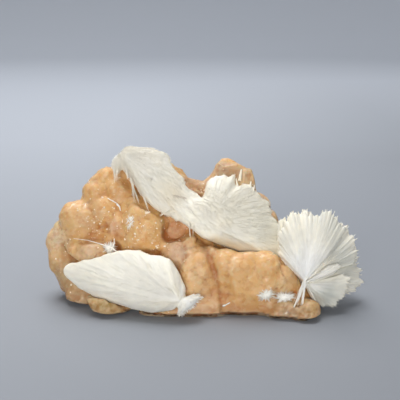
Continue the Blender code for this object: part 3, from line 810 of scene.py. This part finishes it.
# Rounded lumps: place on the skin, radius of the ball and how far it stands out, in mm.
LOBES = [
    ((-55.5, 0.1, 70.9), 8, 0.2), ((-60.3, -3.9, 63.7), 9, 0.4), ((-46.6, -7.3, 62.8), 10, 1.0),
    ((-55.4, -10.8, 54.5), 10, 1.0), ((-67.6, -11.1, 50.6), 13, 0.8), ((-63.7, -10.2, 38.8), 8, 0.4),
    ((-83.4, -6.4, 35.4), 9, 2.4), ((-37.0, -19.0, 52.0), 14, 1.2), ((-30.0, -22.0, 42.5), 12, 1.2),
    ((-8.9, -21.7, 37.1), 6, 1.0), ((-62.6, -20.6, 30.5), 11, 0.6), ((-69.6, -23.4, 5.9), 11, 0.3),
    ((-52.6, -38.6, 5.9), 9, 0.6), ((-60.0, -33.0, 5.0), 7, 0.6), ((-15.3, -26.3, 32.3), 9, 0.6),
    ((-5.5, -35.3, 20.6), 15, 0.4), ((0.9, -26.3, 33.4), 6, 0.6), ((44.4, -41.8, 4.9), 9, 0.4),
    ((54.7, -44.8, 3.9), 8, 0.4), ((54.4, -36.8, 10.4), 7, 0.4), ((44.7, -24.5, 22.5), 10, 0.6),
    ((-5.7, 6.1, 60.2), 6, 1.0), ((-9.6, -1.1, 60.8), 5, 0.8), ((31.1, 8.0, 54.5), 6, 0.2),
    ((-80.3, -13.3, 14.6), 16, 0.2),
]

# Places that lumps stay away from: balls that lie deep under the skin, in mm.
CLEAR_PLACES = [
    (-44.0, -16.5, 50.0), (-40.0, -20.0, 44.0), (-24.0, -18.0, 47.0), (-73.0, -9.0, 46.0),
    (-62.0, -13.0, 46.0), (-50.0, -8.0, 58.0), (-66.0, -6.0, 57.0), (-31.0, -20.0, 35.0),
]
CLEAR_BALL = (5, -4.0)

# The other lumps: how far apart they are, how many places are tried, their least height, and how far any
# lump stands out at most, in mm.
LOBE_SPACING = 11.0
LOBE_TRIES = 4000
LOBE_LOWEST = 2.0
LOBE_DEPTH = 1.2

# Balls that fill slits between the lumps: place and radius in mm.
PLUGS = [((-40.0, 21.5, 38.5), 6.5), ((40.5, -27.0, 20.5), 8.0), ((40.0, -26.5, 15.0), 7.5)]

# The plainer back: how far back it is at its plainest, in mm, how much of it changes, how often it is
# smoothed, and how wide and high its larger crystal ends are.
BACK_DEPTH = 12.0
BACK_SHARE = 0.85
BACK_PASSES = 70
BACK_CRYSTAL = 2.6
BACK_RELIEF = 1.7

# The foot, in mm: how thick the sawn base's layer is, over what height the relief fades out above it, and
# how much of its width the foot loses. The undercut is also painted umber, as painted shade under the edge.
BASE_LAYER = 0.3
FOOT_FADE = 2.5
UNDERCUT_SHARE = 0.045
UNDERCUT_EDGE = 2.2

# The seed of the crystal ends' lean, how far the ends differ in height, how far they lean, and how round
# they are.
RELIEF_SEED = 3
CRYSTAL_STEP = 0.9
CRYSTAL_LEAN = 1.4
CRYSTAL_ROUNDNESS = 0.9

# The cracks are only in the front: past this depth, in mm, they fade out.
CRACK_BACK = -15.0

# Curvature, in mm, at which a hollow or a crease counts in full.
HOLLOW_DEPTH = 2.2
CREASE_DEPTH = 0.35

# Painted shade low down: height in mm up to which the stilbite is painted darker, and how much.
PAINTED_SHADE_HEIGHT = 14.0
PAINTED_SHADE_SHARE = 0.5

# Places where the lumps fade out: place and reach in mm, and how much of them goes.
CALM_PLACES = [
    ((21.0, -36.0, 22.0), 17, 0.85), ((-4.0, -38.0, 6.0), 12, 0.85), ((25.0, -37.0, 6.0), 14, 0.85),
    ((14.0, 8.0, 70.0), 12, 0.85), ((-12.5, -12.0, 41.0), 6, 0.6), ((-80.0, -13.0, 14.0), 13, 0.85),
    ((-53.0, -5.0, 61.0), 12, 0.45), ((-36.0, -18.0, 46.0), 14, 0.3),
]

# Flat crystal faces: point and normal of the face, middle and reach of its work, and how far it draws out.
CUTS = [
    ((10.8, 9.0, 73.4), (0.12, -0.15, 1.0), (11.0, 10.0, 74.5), 17, 0.0),
    ((-64.0, 0.0, 67.5), (-0.62, 0.0, 0.78), (-62.0, 0.0, 70.0), 16, 0.0),
    ((31.0, 8.0, 54.0), (0.35, 0.0, 0.94), (33.0, 8.0, 55.0), 9, 0.0),
    ((17.0, 9.0, 75.2), (0.48, 0.1, 0.85), (18.0, 12.0, 74.0), 15, 5.0),
    ((5.4, 9.0, 72.6), (-0.86, 0.1, 0.50), (5.0, 12.0, 71.0), 13, 4.0),
    ((26.6, 9.0, 66.6), (0.95, 0.0, 0.2), (26.0, 12.0, 66.0), 10, 2.0),
    ((8.0, 7.5, 71.0), (-0.5, -0.8, 0.35), (8.0, 8.0, 71.0), 9, 1.5),
    ((20.0, 7.6, 69.0), (0.35, -0.9, 0.2), (20.0, 8.0, 68.0), 10, 1.5),
    ((21.0, -36.3, 24.0), (0.03, -0.99, 0.12), (21.0, -36.0, 22.0), 17, 1.5),
    ((-15.3, -26.6, 32.3), (-0.25, -0.85, 0.45), (-15.3, -26.3, 32.3), 7, 1.0),
    ((-5.5, -35.6, 20.6), (0.1, -0.97, 0.2), (-5.5, -35.3, 20.6), 8, 1.0),
    ((-80.3, -13.6, 14.6), (-0.6, -0.8, 0.1), (-80.3, -13.3, 14.6), 9, 1.2),
    ((-17.0, -10.6, 41.0), (0.1, -0.95, 0.2), (-17.0, -12.5, 41.0), 10, 0.0),
]

# Where tiny bright crystals gather: place in mm, reach in mm and amount.
GLINT_SPOTS = [
    ((-62.0, -12.0, 48.0), 7, 0.8), ((-58.0, -12.5, 44.0), 6, 1.0), ((-55.0, -11.5, 52.0), 5, 0.7),
    ((-36.0, -21.0, 47.0), 8, 0.7), ((-30.0, -22.0, 42.0), 8, 1.1), ((-28.0, -22.0, 36.0), 5, 1.2),
    ((-44.0, -17.0, 44.0), 5, 0.5), ((-17.0, -13.0, 42.0), 5, 0.8), ((-47.0, -8.0, 62.0), 8, 0.3),
    ((-60.0, -3.0, 66.0), 9, 0.3), ((-15.0, -26.0, 31.0), 7, 0.2), ((-2.0, 8.0, 62.0), 7, 0.5),
    ((-80.0, -9.0, 30.0), 6, 0.3), ((30.0, -32.0, 33.0), 8, 0.2), ((-35.0, 24.0, 48.0), 9, 0.3),
    ((12.0, 25.0, 34.0), 8, 0.3),
]

# How many there are, how likely they are away from those places, and their least height in mm.
GLINT_COUNT = 480
GLINT_BACKGROUND = 0.02
GLINT_LOWEST = 1.5


def crystal_ends(point, size):
    """How far crystal ends of a size stand out at a point, from about -1 to 1, with creases between."""
    heights = []
    for spot in noise.voronoi(point / size)[1]:
        away = point / size - spot
        lean = noise.noise_vector(spot * 3.7)
        heights.append(CRYSTAL_STEP * noise.noise(spot * 5.1) + CRYSTAL_LEAN * lean.dot(away)
                       - CRYSTAL_ROUNDNESS * away.length_squared)
    return max(heights)


def distance_to_line(co, line):
    """How far points are from a line of joined points."""
    near = np.full(len(co), np.inf)
    for a, b in zip(line, line[1:]):
        a, b = np.array(a, float), np.array(b, float)
        part = np.clip((co - a) @ (b - a) / ((b - a) @ (b - a)), 0.0, 1.0)
        near = np.minimum(near, np.linalg.norm(co - (a + part[:, None] * (b - a)), axis=1))
    return near


def lobe_balls(co, normals):
    """Balls whose caps make the rounded lumps: the known ones, and others spread evenly elsewhere."""
    tree = KDTree(len(co))
    for index, point in enumerate(co):
        tree.insert(point, index)
    tree.balance()
    wanted = LOBES + [(place, *CLEAR_BALL) for place in CLEAR_PLACES]
    rng = np.random.default_rng(41)
    taken = [np.array(place) for place, _, _ in wanted]
    for index in rng.permutation(len(co))[:LOBE_TRIES]:
        point = co[index]
        if point[2] > LOBE_LOWEST and min(distances(np.array(taken), point)) > LOBE_SPACING:
            taken.append(point)
            wanted.append((tuple(point), rng.uniform(8.0, 12.0), rng.uniform(0.2, 1.1)))
    balls = []
    for place, radius, out in wanted:
        normal = normals[tree.find(place)[1]]
        balls.append((np.array(place) - normal * (radius - out), radius))
    return balls


def lobe_heights(co, normals):
    """How far the rounded lumps stand out, in mm."""
    cap = np.full(len(co), -np.inf)
    for centre, radius in lobe_balls(co, normals):
        cap = np.maximum(cap, radius - distances(co, centre))
    return LOBE_DEPTH * np.tanh(cap / LOBE_DEPTH)


def calm_shares(co):
    """How much of the lumps is left at each point, from 0 to 1."""
    calm = np.ones(len(co))
    for place, reach, amount in CALM_PLACES:
        calm = np.minimum(calm, 1.0 - amount * np.exp(-(distances(co, place) / reach) ** 4))
    return calm


def cut_faces(co, cuts):
    """Pushes points in or out to flat crystal faces: point, normal, middle and reach of each in mm."""
    for point, normal, middle, reach, pull in cuts:
        normal = drawn_to_one(np.array(normal, float))
        over = (co - np.array(point)) @ normal
        share = np.clip(2.0 * (1.0 - distances(co, middle) / reach), 0.0, 1.0)
        share *= np.where(over > 0.0, 1.0, np.clip(1.0 + over / pull, 0.0, 1.0) if pull > 0.0 else 0.0)
        co = co - normal * (over * share)[:, None]
    return co


def crystal_relief(co, behind, s):
    """How far crystal ends, small facets and grain stand out at points in mm, in metres."""
    noise.seed_set(RELIEF_SEED)
    out = np.empty(len(co))
    for index, point in enumerate(co):
        place = Vector(point) * MM
        warp = noise.noise_vector(place * 90.0) * (1.2 * MM)
        large = crystal_ends(place + warp * 2.0, BACK_CRYSTAL * s.crystal)
        out[index] = (s.relief * crystal_ends(place + warp, s.crystal)
                      + behind[index] * BACK_RELIEF * MM * large
                      + s.facet_relief * crystal_ends(place + warp * 0.5, s.facet)
                      + 0.10 * MM * noise.noise(place * 900.0))
    return out


def crack_depths(co):
    """How near points in mm are to the middle of a crack, from 0 to 1, and how far they sink, in mm."""
    near, sunk = np.zeros((2, len(co)))
    for line, width, depth in CRACKS:
        away = distance_to_line(co[:, ::2], line) + np.maximum(0.0, co[:, 1] - CRACK_BACK)
        share = np.exp(-(away / width) ** 2)
        near = np.maximum(near, share)
        sunk += depth * share
    return near, sunk


def mark_stilbite(mesh, co, edges, crack_shade, under, s):
    """Keeps the stilbite's hollows, creases and colours for its material; the colours carry painted shade
    low down, over the foot and in the cracks.
    """
    normals = normals_of(mesh)
    wide = ((smoothed(co, edges, 90) - co) * normals).sum(axis=1) / MM
    fine = ((smoothed(co, edges, 8) - co) * normals).sum(axis=1) / MM
    set_value(mesh, "hollow", np.clip(wide / HOLLOW_DEPTH, -1.0, 1.0))
    set_value(mesh, "crease", np.clip(fine / CREASE_DEPTH, -1.0, 1.0))
    # Painted shade: darker towards the bottom, mixed with amber.
    low = PAINTED_SHADE_SHARE * np.clip(1.0 - co[:, 2] / (PAINTED_SHADE_HEIGHT * MM), 0.0, 1.0)[:, None]
    colours = painted(mesh, s.body, STILBITE_ZONES, s)
    colours = colours * (1.0 - low) + colours * np.array(s.amber) * low
    # Painted shade: umber over the drawn-in foot and, more faintly, along the cracks.
    share = np.maximum(0.22 * crack_shade, 0.95 * under)[:, None]
    set_tint(mesh, colours * (1.0 - share) + np.array(s.umber) * share)


def stilbite_mass(s):
    """The stilbite solid with soft lumps, crystal ends and facets, and its colours in attributes."""
    bm = bmesh.new()
    bm.from_mesh(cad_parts["stilbite_matrix"].data)
    bmesh.ops.remove_doubles(bm, verts=bm.verts, dist=0.001 * MM)
    for place, radius in PLUGS:
        bmesh.ops.create_icosphere(bm, subdivisions=3, radius=radius * MM,
                                   matrix=Matrix.Translation(Vector(place) * MM))
    piece = reskin(add_object("stilbite_body", mesh_from(bm, "stilbite_body")), s.grain)
    mesh = piece.data
    edges = edges_of(mesh)
    flat = points_of(mesh)
    behind = BACK_SHARE * np.clip(flat[:, 1] / (BACK_DEPTH * MM), 0.0, 1.0)
    co = smoothed(flat, edges, s.softness)
    co = (co * (1.0 - behind[:, None]) + smoothed(co, edges, BACK_PASSES) * behind[:, None]) / MM
    normals = drawn_to_one(smoothed(normals_of(mesh), edges, 12))

    calm = calm_shares(co)
    foot_fade = np.clip(co[:, 2] / FOOT_FADE, 0.0, 1.0)
    lobes = lobe_heights(co, normals) * (1.0 - 0.5 * behind)
    co = co + normals * (lobes * calm * foot_fade * s.lobes)[:, None]
    co = cut_faces(smoothed(co, edges, 2), CUTS)
    set_points(mesh, co * MM)
    normals = smoothed(normals_of(mesh), edges, 3)

    out = crystal_relief(co, behind, s) * (0.4 + 0.6 * calm)
    crack_shade, sunk = crack_depths(co)
    co = co * MM + normals * ((out - sunk * MM) * foot_fade)[:, None]
    # This undercut mask also paints the foot umber, as painted shade under its edge.
    under = np.clip(UNDERCUT_EDGE * (1.0 - co[:, 2] / s.undercut), 0.0, 1.0)
    co[:, :2] *= (1.0 - UNDERCUT_SHARE * under)[:, None]
    co[:, 2] = np.where(flat[:, 2] < BASE_LAYER * MM, 0.0, np.maximum(co[:, 2], 0.0))
    set_points(mesh, co)
    mark_stilbite(mesh, co, edges, crack_shade, under, s)
    mesh.shade_smooth()
    return piece


def glints(name, mesh, spots, seed):
    """Tiny bright crystals strewn over the skin, most of them near some spots."""
    rng = np.random.default_rng(seed)
    co, normals = points_of(mesh) / MM, normals_of(mesh)
    weight = np.full(len(co), GLINT_BACKGROUND)
    for place, reach, amount in spots:
        weight += amount * np.exp(-(distances(co, place) / reach) ** 2)
    weight *= co[:, 2] > GLINT_LOWEST
    chosen = rng.choice(len(co), GLINT_COUNT, replace=False, p=weight / weight.sum())
    ways = drawn_to_one(normals[chosen] + rng.normal(0, 0.5, (GLINT_COUNT, 3)))
    size = 0.18 + 0.6 * rng.uniform(size=GLINT_COUNT) ** 4
    long = np.where(rng.uniform(size=GLINT_COUNT) < 0.05, rng.uniform(2.0, 5.0, GLINT_COUNT), 0.7)
    feet = co[chosen] - ways * (0.5 * size)[:, None]
    tips = co[chosen] + ways * (1.3 * size * long)[:, None]
    return needles(name, feet, tips, size, rng.uniform(-1, 1, GLINT_COUNT), taper=0.35, sides=5)


# Materials

class Tree:
    """Adds nodes to a new material, each with its inputs set or linked."""

    def __init__(self, name):
        self.material = bpy.data.materials.new(name)
        self.material.use_nodes = True
        self.tree = self.material.node_tree
        self.shader = self.tree.nodes["Principled BSDF"]

    def feed(self, made, inputs):
        """Sets or links a node's inputs, by name or number."""
        for name, value in inputs.items():
            if isinstance(value, bpy.types.NodeSocket):
                self.tree.links.new(value, made.inputs[name])
            else:
                made.inputs[name].default_value = value

    def node(self, kind, inputs=None, **settings):
        """A new node of a kind, fed with inputs."""
        made = self.tree.nodes.new("ShaderNode" + kind)
        for name, value in settings.items():
            setattr(made, name, value)
        self.feed(made, inputs or {})
        return made

    def place(self):
        """Where a point lies on the object."""
        return self.node("TexCoord").outputs["Object"]

    def attribute(self, name, output="Fac"):
        """A number or colour that the mesh keeps for each point."""
        return self.node("Attribute", attribute_name=name).outputs[output]

    def noise(self, vector, scale, detail=3.0, roughness=0.55):
        """Soft random patches; the scale is how many there are in a metre."""
        return self.node("TexNoise", {"Vector": vector, "Scale": scale, "Detail": detail,
                                      "Roughness": roughness}).outputs["Fac"]

    def spread(self, value, low, high, to_low=0.0, to_high=1.0):
        """A value from low to high, stretched from to_low to to_high."""
        return self.node("MapRange", {"Value": value, "From Min": low, "From Max": high,
                                      "To Min": to_low, "To Max": to_high}).outputs["Result"]

    def math(self, operation, a, b):
        """One sum of two numbers."""
        return self.node("Math", {0: a, 1: b}, operation=operation).outputs[0]

    def mix(self, share, a, b):
        """Colour a with a share of colour b laid over it."""
        colours = [value if isinstance(value, bpy.types.NodeSocket) else (*value[:3], 1.0)
                   for value in (a, b)]
        made = self.node("Mix", {}, data_type="RGBA")
        self.feed(made, {0: share, 6: colours[0], 7: colours[1]})
        return made.outputs[2]

    def bump(self, height, strength, distance):
        """Small relief from a height."""
        return self.node("Bump", {"Height": height, "Strength": strength,
                                  "Distance": distance}).outputs["Normal"]


def stilbite_material(s):
    """Waxy honey crystal: clouded colour, fine facets and a soft gloss, with amber in hollows and creases
    that is both the stone's own staining and painted shade.
    """
    t = Tree("stilbite_wax")
    place = t.place()
    clouds = t.noise(place, scale=70.0, detail=4.0)
    patches = t.noise(place, scale=130.0)
    grains = t.noise(place, scale=420.0, detail=4.0, roughness=0.6)
    hollow, crease = t.attribute("hollow"), t.attribute("crease")
    facets = t.node("TexVoronoi", {"Vector": place, "Scale": 520.0}, feature="F1").outputs
    cells = t.node("SeparateColor", {"Color": facets["Color"]}).outputs["Red"]
    colour = t.attribute("tint", "Color")
    for share, tint in (
            (t.spread(clouds, 0.55, 0.8, 0.0, 0.5), s.pink),
            (t.spread(patches, 0.56, 0.78, 0.0, 0.45), s.pale),
            # Painted shade with staining: amber laid into hollows and concave creases; the sharp, convex
            # ridges are made paler.
            (t.spread(hollow, 0.15, 0.95, 0.0, 0.75), s.amber),
            (t.spread(crease, 0.15, 0.9, 0.0, 0.6), s.amber),
            (t.spread(crease, -0.15, -0.9, 0.0, 0.4), s.pale),
            (t.spread(grains, 0.62, 0.8, 0.0, 0.35), s.amber),
            (t.spread(cells, 0.6, 1.0, 0.0, 0.3), s.pale), (t.spread(cells, 0.0, 0.35, 0.3, 0.0), s.amber)):
        colour = t.mix(share, colour, tint)
    height = t.math("ADD", t.math("MULTIPLY", facets["Distance"], 0.9), grains)
    height = t.math("ADD", height, t.math("MULTIPLY", cells, 0.4))
    rough = t.math("SUBTRACT", t.spread(grains, 0.3, 0.75, 0.42, 0.6), t.spread(cells, 0.8, 0.95, 0.0, 0.34))
    t.feed(t.shader, {
        "Base Color": colour, "Roughness": rough, "Normal": t.bump(height, 0.35, 0.3 * MM), "IOR": 1.45,
        "Subsurface Weight": 0.55, "Subsurface Radius": (1.0, 0.5, 0.22), "Subsurface Scale": s.light_depth,
    })
    return t.material


def scolecite_material(s, name, soft):
    """Silky white needles, streaked along their length and glassier here and there; soft is how much
    light goes into them."""
    t = Tree(name)
    across, along, shade = t.attribute("across"), t.attribute("along"), t.attribute("shade")

    def streaks(fine, slow, detail):
        """Noise drawn out along the needles."""
        place = t.node("CombineXYZ", {"X": t.math("MULTIPLY", across, fine),
                                      "Y": t.math("MULTIPLY", along, slow), "Z": shade})
        return t.noise(place.outputs["Vector"], scale=1.0, detail=detail, roughness=0.65)

    fine, broad = streaks(2.6, 0.10, 4.0), streaks(0.45, 0.05, 3.0)
    place = t.place()
    patches, grains = t.noise(place, scale=75.0), t.noise(place, scale=240.0)
    outward = t.spread(along, 2.0, 26.0, 0.3, 1.0)
    colour = t.attribute("tint", "Color")
    for share in (t.math("MULTIPLY", outward, t.spread(broad, 0.5, 0.75, 0.0, 0.3)),
                  t.math("MULTIPLY", outward, t.spread(fine, 0.5, 0.85, 0.0, 0.25)),
                  t.spread(patches, 0.48, 0.75, 0.0, 0.5), t.spread(grains, 0.5, 0.8, 0.0, 0.3)):
        colour = t.mix(share, colour, s.grey)
    height = t.math("ADD", t.math("MULTIPLY", broad, 1.5), fine)
    t.feed(t.shader, {
        "Base Color": colour, "Roughness": t.spread(fine, 0.3, 0.8, 0.42, 0.62),
        "Normal": t.bump(height, 0.45, 0.18 * MM), "IOR": 1.45, "Subsurface Weight": soft,
        "Subsurface Radius": (1.0, 0.9, 0.75), "Subsurface Scale": s.light_depth,
    })
    return t.material


def glint_material():
    """Tiny bright crystals that catch the light."""
    t = Tree("stilbite_glint")
    grains = t.noise(t.place(), scale=900.0, detail=2.0)
    t.feed(t.shader, {"Base Color": t.mix(grains, rgb(255, 246, 228), rgb(246, 222, 190)),
                      "Roughness": t.spread(grains, 0.3, 0.7, 0.08, 0.25), "IOR": 1.5})
    return t.material


def stage_material(s):
    """Matt paper with painted light and shade: darker in front of the specimen and far off on the right,
    lighter behind it.
    """
    t = Tree("stage")
    place = t.place()
    parts = t.node("SeparateXYZ", {"Vector": place}).outputs
    # Painted light and shade on the floor, by its place.
    front = t.spread(parts["Y"], -1.6, -0.4, 0.3, 0.0)
    middle = t.spread(parts["Y"], -0.15, 0.5, 0.60, 0.88)
    far = t.spread(parts["Y"], 0.5, 1.8, 0.0, 0.25)
    right = t.math("MULTIPLY", t.spread(parts["X"], -0.12, 0.25, 0.0, 0.36),
                   t.spread(parts["Y"], 0.4, 1.2, 1.0, 0.0))
    light = t.math("MULTIPLY", t.math("ADD", t.math("ADD", middle, front), far),
                   t.math("SUBTRACT", 1.0, right))
    t.feed(t.shader, {"Base Color": t.mix(light, (0.0, 0.0, 0.0), s.floor), "Roughness": 0.9,
                      "Normal": t.bump(t.noise(place, scale=300.0, detail=2.0), 0.02, 0.1 * MM)})
    return t.material


# Pieces and operators

def build_fans(name, fans, extras, s, node, swells=None):
    """Joins fans, their needles and some extra parts into one piece. Fans with a list of swellings, even
    an empty one, are fused into one skin."""
    shapes = [FanShape(spec) for spec in fans]
    if swells is None:
        parts = [fan_sheet(f"{name}_sheet_{number}", shape) for number, shape in enumerate(shapes)]
    else:
        parts = [fused_sheets(name, shapes, swells)]
    if swells:
        parts.append(combed_hairs(f"{name}_combed", parts[0].data, shapes, COMBED, 61))
    for part in parts:
        part.data.shade_smooth()
    for number, shape in enumerate(shapes):
        parts.append(fringe(f"{name}_fringe_{number}", shape))
        parts.append(lying_needles(f"{name}_lying_{number}", shape, int(shape.length * s.density),
                                   s.needle / MM))
    piece = join(parts + extras)
    piece.name = name
    set_tint(piece.data, painted(piece.data, s.ivory, SCOLECITE_ZONES, s))
    material = bpy.data.materials.get("scolecite_silk") or scolecite_material(s, "scolecite_silk", 0.4)
    finish_piece(piece, "scolecite", material, node)


class SPECIMEN_OT_stilbite(bpy.types.Operator):
    """Build the stilbite mass with its crystal ends, colours and glints"""
    bl_idname = "specimen.stilbite"
    bl_label = "Stilbite"

    def execute(self, context):
        s = context.scene.specimen_stilbite
        piece = stilbite_mass(s)
        finish_piece(piece, "stilbite", stilbite_material(s), "stilbite_matrix")
        finish_piece(glints("stilbite_glints", piece.data, GLINT_SPOTS, 31), "stilbite", glint_material())
        return {"FINISHED"}


class SPECIMEN_OT_upper_fans(bpy.types.Operator):
    """Build the two big fans over the top and the crystals at their notch"""
    bl_idname = "specimen.upper_fans"
    bl_label = "Upper fans"

    def execute(self, context):
        hairs = whiskers("hanging_hairs", HANGING_HAIRS, 51)
        build_fans("scolecite_upper", UPPER_FANS, [spikes("notch", NOTCH_SPIKES), hairs],
                   context.scene.specimen_scolecite, "scolecite_upper_fans", UPPER_SWELLS)
        return {"FINISHED"}


class SPECIMEN_OT_lower_fan(bpy.types.Operator):
    """Build the lens-shaped fan at the lower left and its tail"""
    bl_idname = "specimen.lower_fan"
    bl_label = "Lower fan"

    def execute(self, context):
        build_fans("scolecite_lower", LOWER_FANS, [], context.scene.specimen_scolecite,
                   "scolecite_lower_fan", [])
        return {"FINISHED"}


class SPECIMEN_OT_flower(bpy.types.Operator):
    """Build the flower-like burst on the right"""
    bl_idname = "specimen.flower"
    bl_label = "Flower"

    def execute(self, context):
        hairs = whiskers("foot_hairs", FOOT_HAIRS, 52)
        build_fans("scolecite_burst", FLOWER_FANS, [spikes("feet", FLOWER_SPIKES), hairs],
                   context.scene.specimen_scolecite, "scolecite_flower")
        return {"FINISHED"}


class SPECIMEN_OT_tufts(bpy.types.Operator):
    """Build the small bursts and the bent hairs on the stilbite"""
    bl_idname = "specimen.tufts"
    bl_label = "Tufts"

    def execute(self, context):
        s = context.scene.specimen_scolecite
        material = scolecite_material(s, "scolecite_snow", 0.05)
        for node, centre, facing, size, seed in TUFTS:
            name = node.replace("scolecite_", "") + "_needles"
            parts = [burst(name, centre, facing, size, TUFT_NEEDLES, np.random.default_rng(seed),
                           s.needle / MM)]
            if node == "scolecite_tuft_ledge":
                parts += [strand(f"strand_{number}", *spec) for number, spec in enumerate(STRANDS)]
            piece = join(parts)
            piece.data.shade_smooth()
            # Snow white all over: partly their own white, partly painted light against the shade between
            # their needles.
            set_tint(piece.data, painted(piece.data, s.snow, [], s))
            finish_piece(piece, "scolecite", material, node)
        return {"FINISHED"}


# Stage

FLOOR_MIDDLE = 0.3
WALL_CURVE = 0.8
WALL_HEIGHT = 2.2
CURVE_STEPS = 12
FLOOR_STEPS = 96

# Lights: name, which is also that of its power setting, place, point it faces, size and colour.
LIGHTS = [
    ("key", (-0.2, -1.45, 0.34), (0, 0, 0.04), 0.7, (1.0, 0.985, 0.96)),
    ("top", (-0.15, 0.25, 1.45), (0, 0, 0), 0.9, (0.98, 0.985, 1.0)),
    ("back", (-0.3, 1.1, 1.4), (0, 0.45, 0), 1.0, (0.98, 0.985, 1.0)),
    ("fill", (1.1, -0.9, 0.6), (0, 0, 0.04), 0.8, (1.0, 0.98, 0.95)),
]
SKY_COLOUR = (0.95, 0.97, 1.0, 1.0)

CAMERA_AIM = Vector((-3.4, 0.0, 55.5)) * MM
CAMERA_DISTANCE = 467.0 * MM
CAMERA_ELEVATION = math.radians(14.0)
CAMERA_LENS = 75.0
CAMERA_SENSOR = 36.0


def build_floor(s):
    """A round sheet, flat in the middle and curving up into a wall all round."""
    profile = [(0.0, 0.0), (FLOOR_MIDDLE, 0.0), (s.flat_radius, 0.0)]
    for step in range(1, CURVE_STEPS + 1):
        angle = math.pi / 2 * step / CURVE_STEPS
        out = s.wall_radius - WALL_CURVE * (1 - math.sin(angle))
        profile.append((out, WALL_CURVE * (1 - math.cos(angle))))
    profile.append((s.wall_radius, WALL_HEIGHT))
    bm = bmesh.new()
    verts = [bm.verts.new((out, 0.0, up)) for out, up in profile]
    line = [bm.edges.new(pair) for pair in zip(verts, verts[1:])]
    bmesh.ops.spin(bm, geom=verts + line, cent=(0, 0, 0), axis=(0, 0, 1), angle=math.tau, steps=FLOOR_STEPS,
                   use_merge=True)
    bmesh.ops.remove_doubles(bm, verts=bm.verts, dist=0.1 * MM)
    bmesh.ops.recalc_face_normals(bm, faces=bm.faces)
    if sum(face.normal.z for face in bm.faces) < 0:
        bmesh.ops.reverse_faces(bm, faces=bm.faces)
    mesh = mesh_from(bm, "floor")
    mesh.shade_smooth()
    mesh.materials.append(stage_material(s))
    add_object("floor", mesh)


def build_lights(s):
    """Soft lights in front, overhead, behind and on the right, and an even sky."""
    for name, place, aim, size, colour in LIGHTS:
        light = bpy.data.lights.new(name, "AREA")
        light.shape = "DISK"
        light.size = size
        light.energy = getattr(s, name)
        light.color = colour
        lamp = add_object(name, light)
        lamp.location = place
        lamp.rotation_euler = (Vector(aim) - Vector(place)).to_track_quat("-Z", "Y").to_euler()
    world = bpy.data.worlds.new("sky")
    world.use_nodes = True
    background = world.node_tree.nodes["Background"]
    background.inputs["Color"].default_value = SKY_COLOUR
    background.inputs["Strength"].default_value = s.sky
    bpy.context.scene.world = world
    bpy.context.scene.view_settings.view_transform = "Standard"


def build_camera(scene):
    """The camera that looks at the specimen's front from a little above."""
    data = bpy.data.cameras.new("camera")
    data.lens = CAMERA_LENS
    data.sensor_width = CAMERA_SENSOR
    data.clip_start = 0.01
    data.clip_end = 20.0
    camera = add_object("camera", data)
    back = Vector((0, -math.cos(CAMERA_ELEVATION), math.sin(CAMERA_ELEVATION)))
    camera.location = CAMERA_AIM + back * CAMERA_DISTANCE
    camera.rotation_euler = (-back).to_track_quat("-Z", "Y").to_euler()
    scene.camera = camera


class SPECIMEN_OT_stage(bpy.types.Operator):
    """Build the floor, the lights and the camera"""
    bl_idname = "specimen.stage"
    bl_label = "Stage"

    def execute(self, context):
        s = context.scene.specimen_stage
        build_floor(s)
        build_lights(s)
        build_camera(context.scene)
        return {"FINISHED"}


# Add-on

class SPECIMEN_PT_panel(bpy.types.Panel):
    """Lists the pieces and their settings in the sidebar"""
    bl_idname = "SPECIMEN_PT_panel"
    bl_label = "Specimen"
    bl_space_type = "VIEW_3D"
    bl_region_type = "UI"
    bl_category = "Specimen"

    def draw(self, context):
        for group, (_, operators) in SETTINGS.items():
            box = self.layout.box()
            for operator in operators:
                box.operator(operator.bl_idname)
            settings = getattr(context.scene, group)
            for name in settings.__annotations__:
                box.prop(settings, name)


# For each group of settings on the scene: its class and the operators that use it, in their order.
SETTINGS = {
    "specimen_stilbite": (StilbiteSettings, [SPECIMEN_OT_stilbite]),
    "specimen_scolecite": (ScoleciteSettings, [SPECIMEN_OT_upper_fans, SPECIMEN_OT_lower_fan,
                                               SPECIMEN_OT_flower, SPECIMEN_OT_tufts]),
    "specimen_stage": (StageSettings, [SPECIMEN_OT_stage]),
}
CLASSES = [each for group, operators in SETTINGS.values() for each in (group, *operators)]
CLASSES.append(SPECIMEN_PT_panel)


def register():
    for each in CLASSES:
        bpy.utils.register_class(each)
    for name, (group, _) in SETTINGS.items():
        setattr(bpy.types.Scene, name, PointerProperty(type=group))


def unregister():
    for name in SETTINGS:
        delattr(bpy.types.Scene, name)
    for each in reversed(CLASSES):
        bpy.utils.unregister_class(each)


def main():
    """Builds everything."""
    register()
    bpy.ops.specimen.stilbite()
    bpy.ops.specimen.upper_fans()
    bpy.ops.specimen.lower_fan()
    bpy.ops.specimen.flower()
    bpy.ops.specimen.tufts()
    bpy.ops.specimen.stage()


if __name__ == "__main__":
    main()
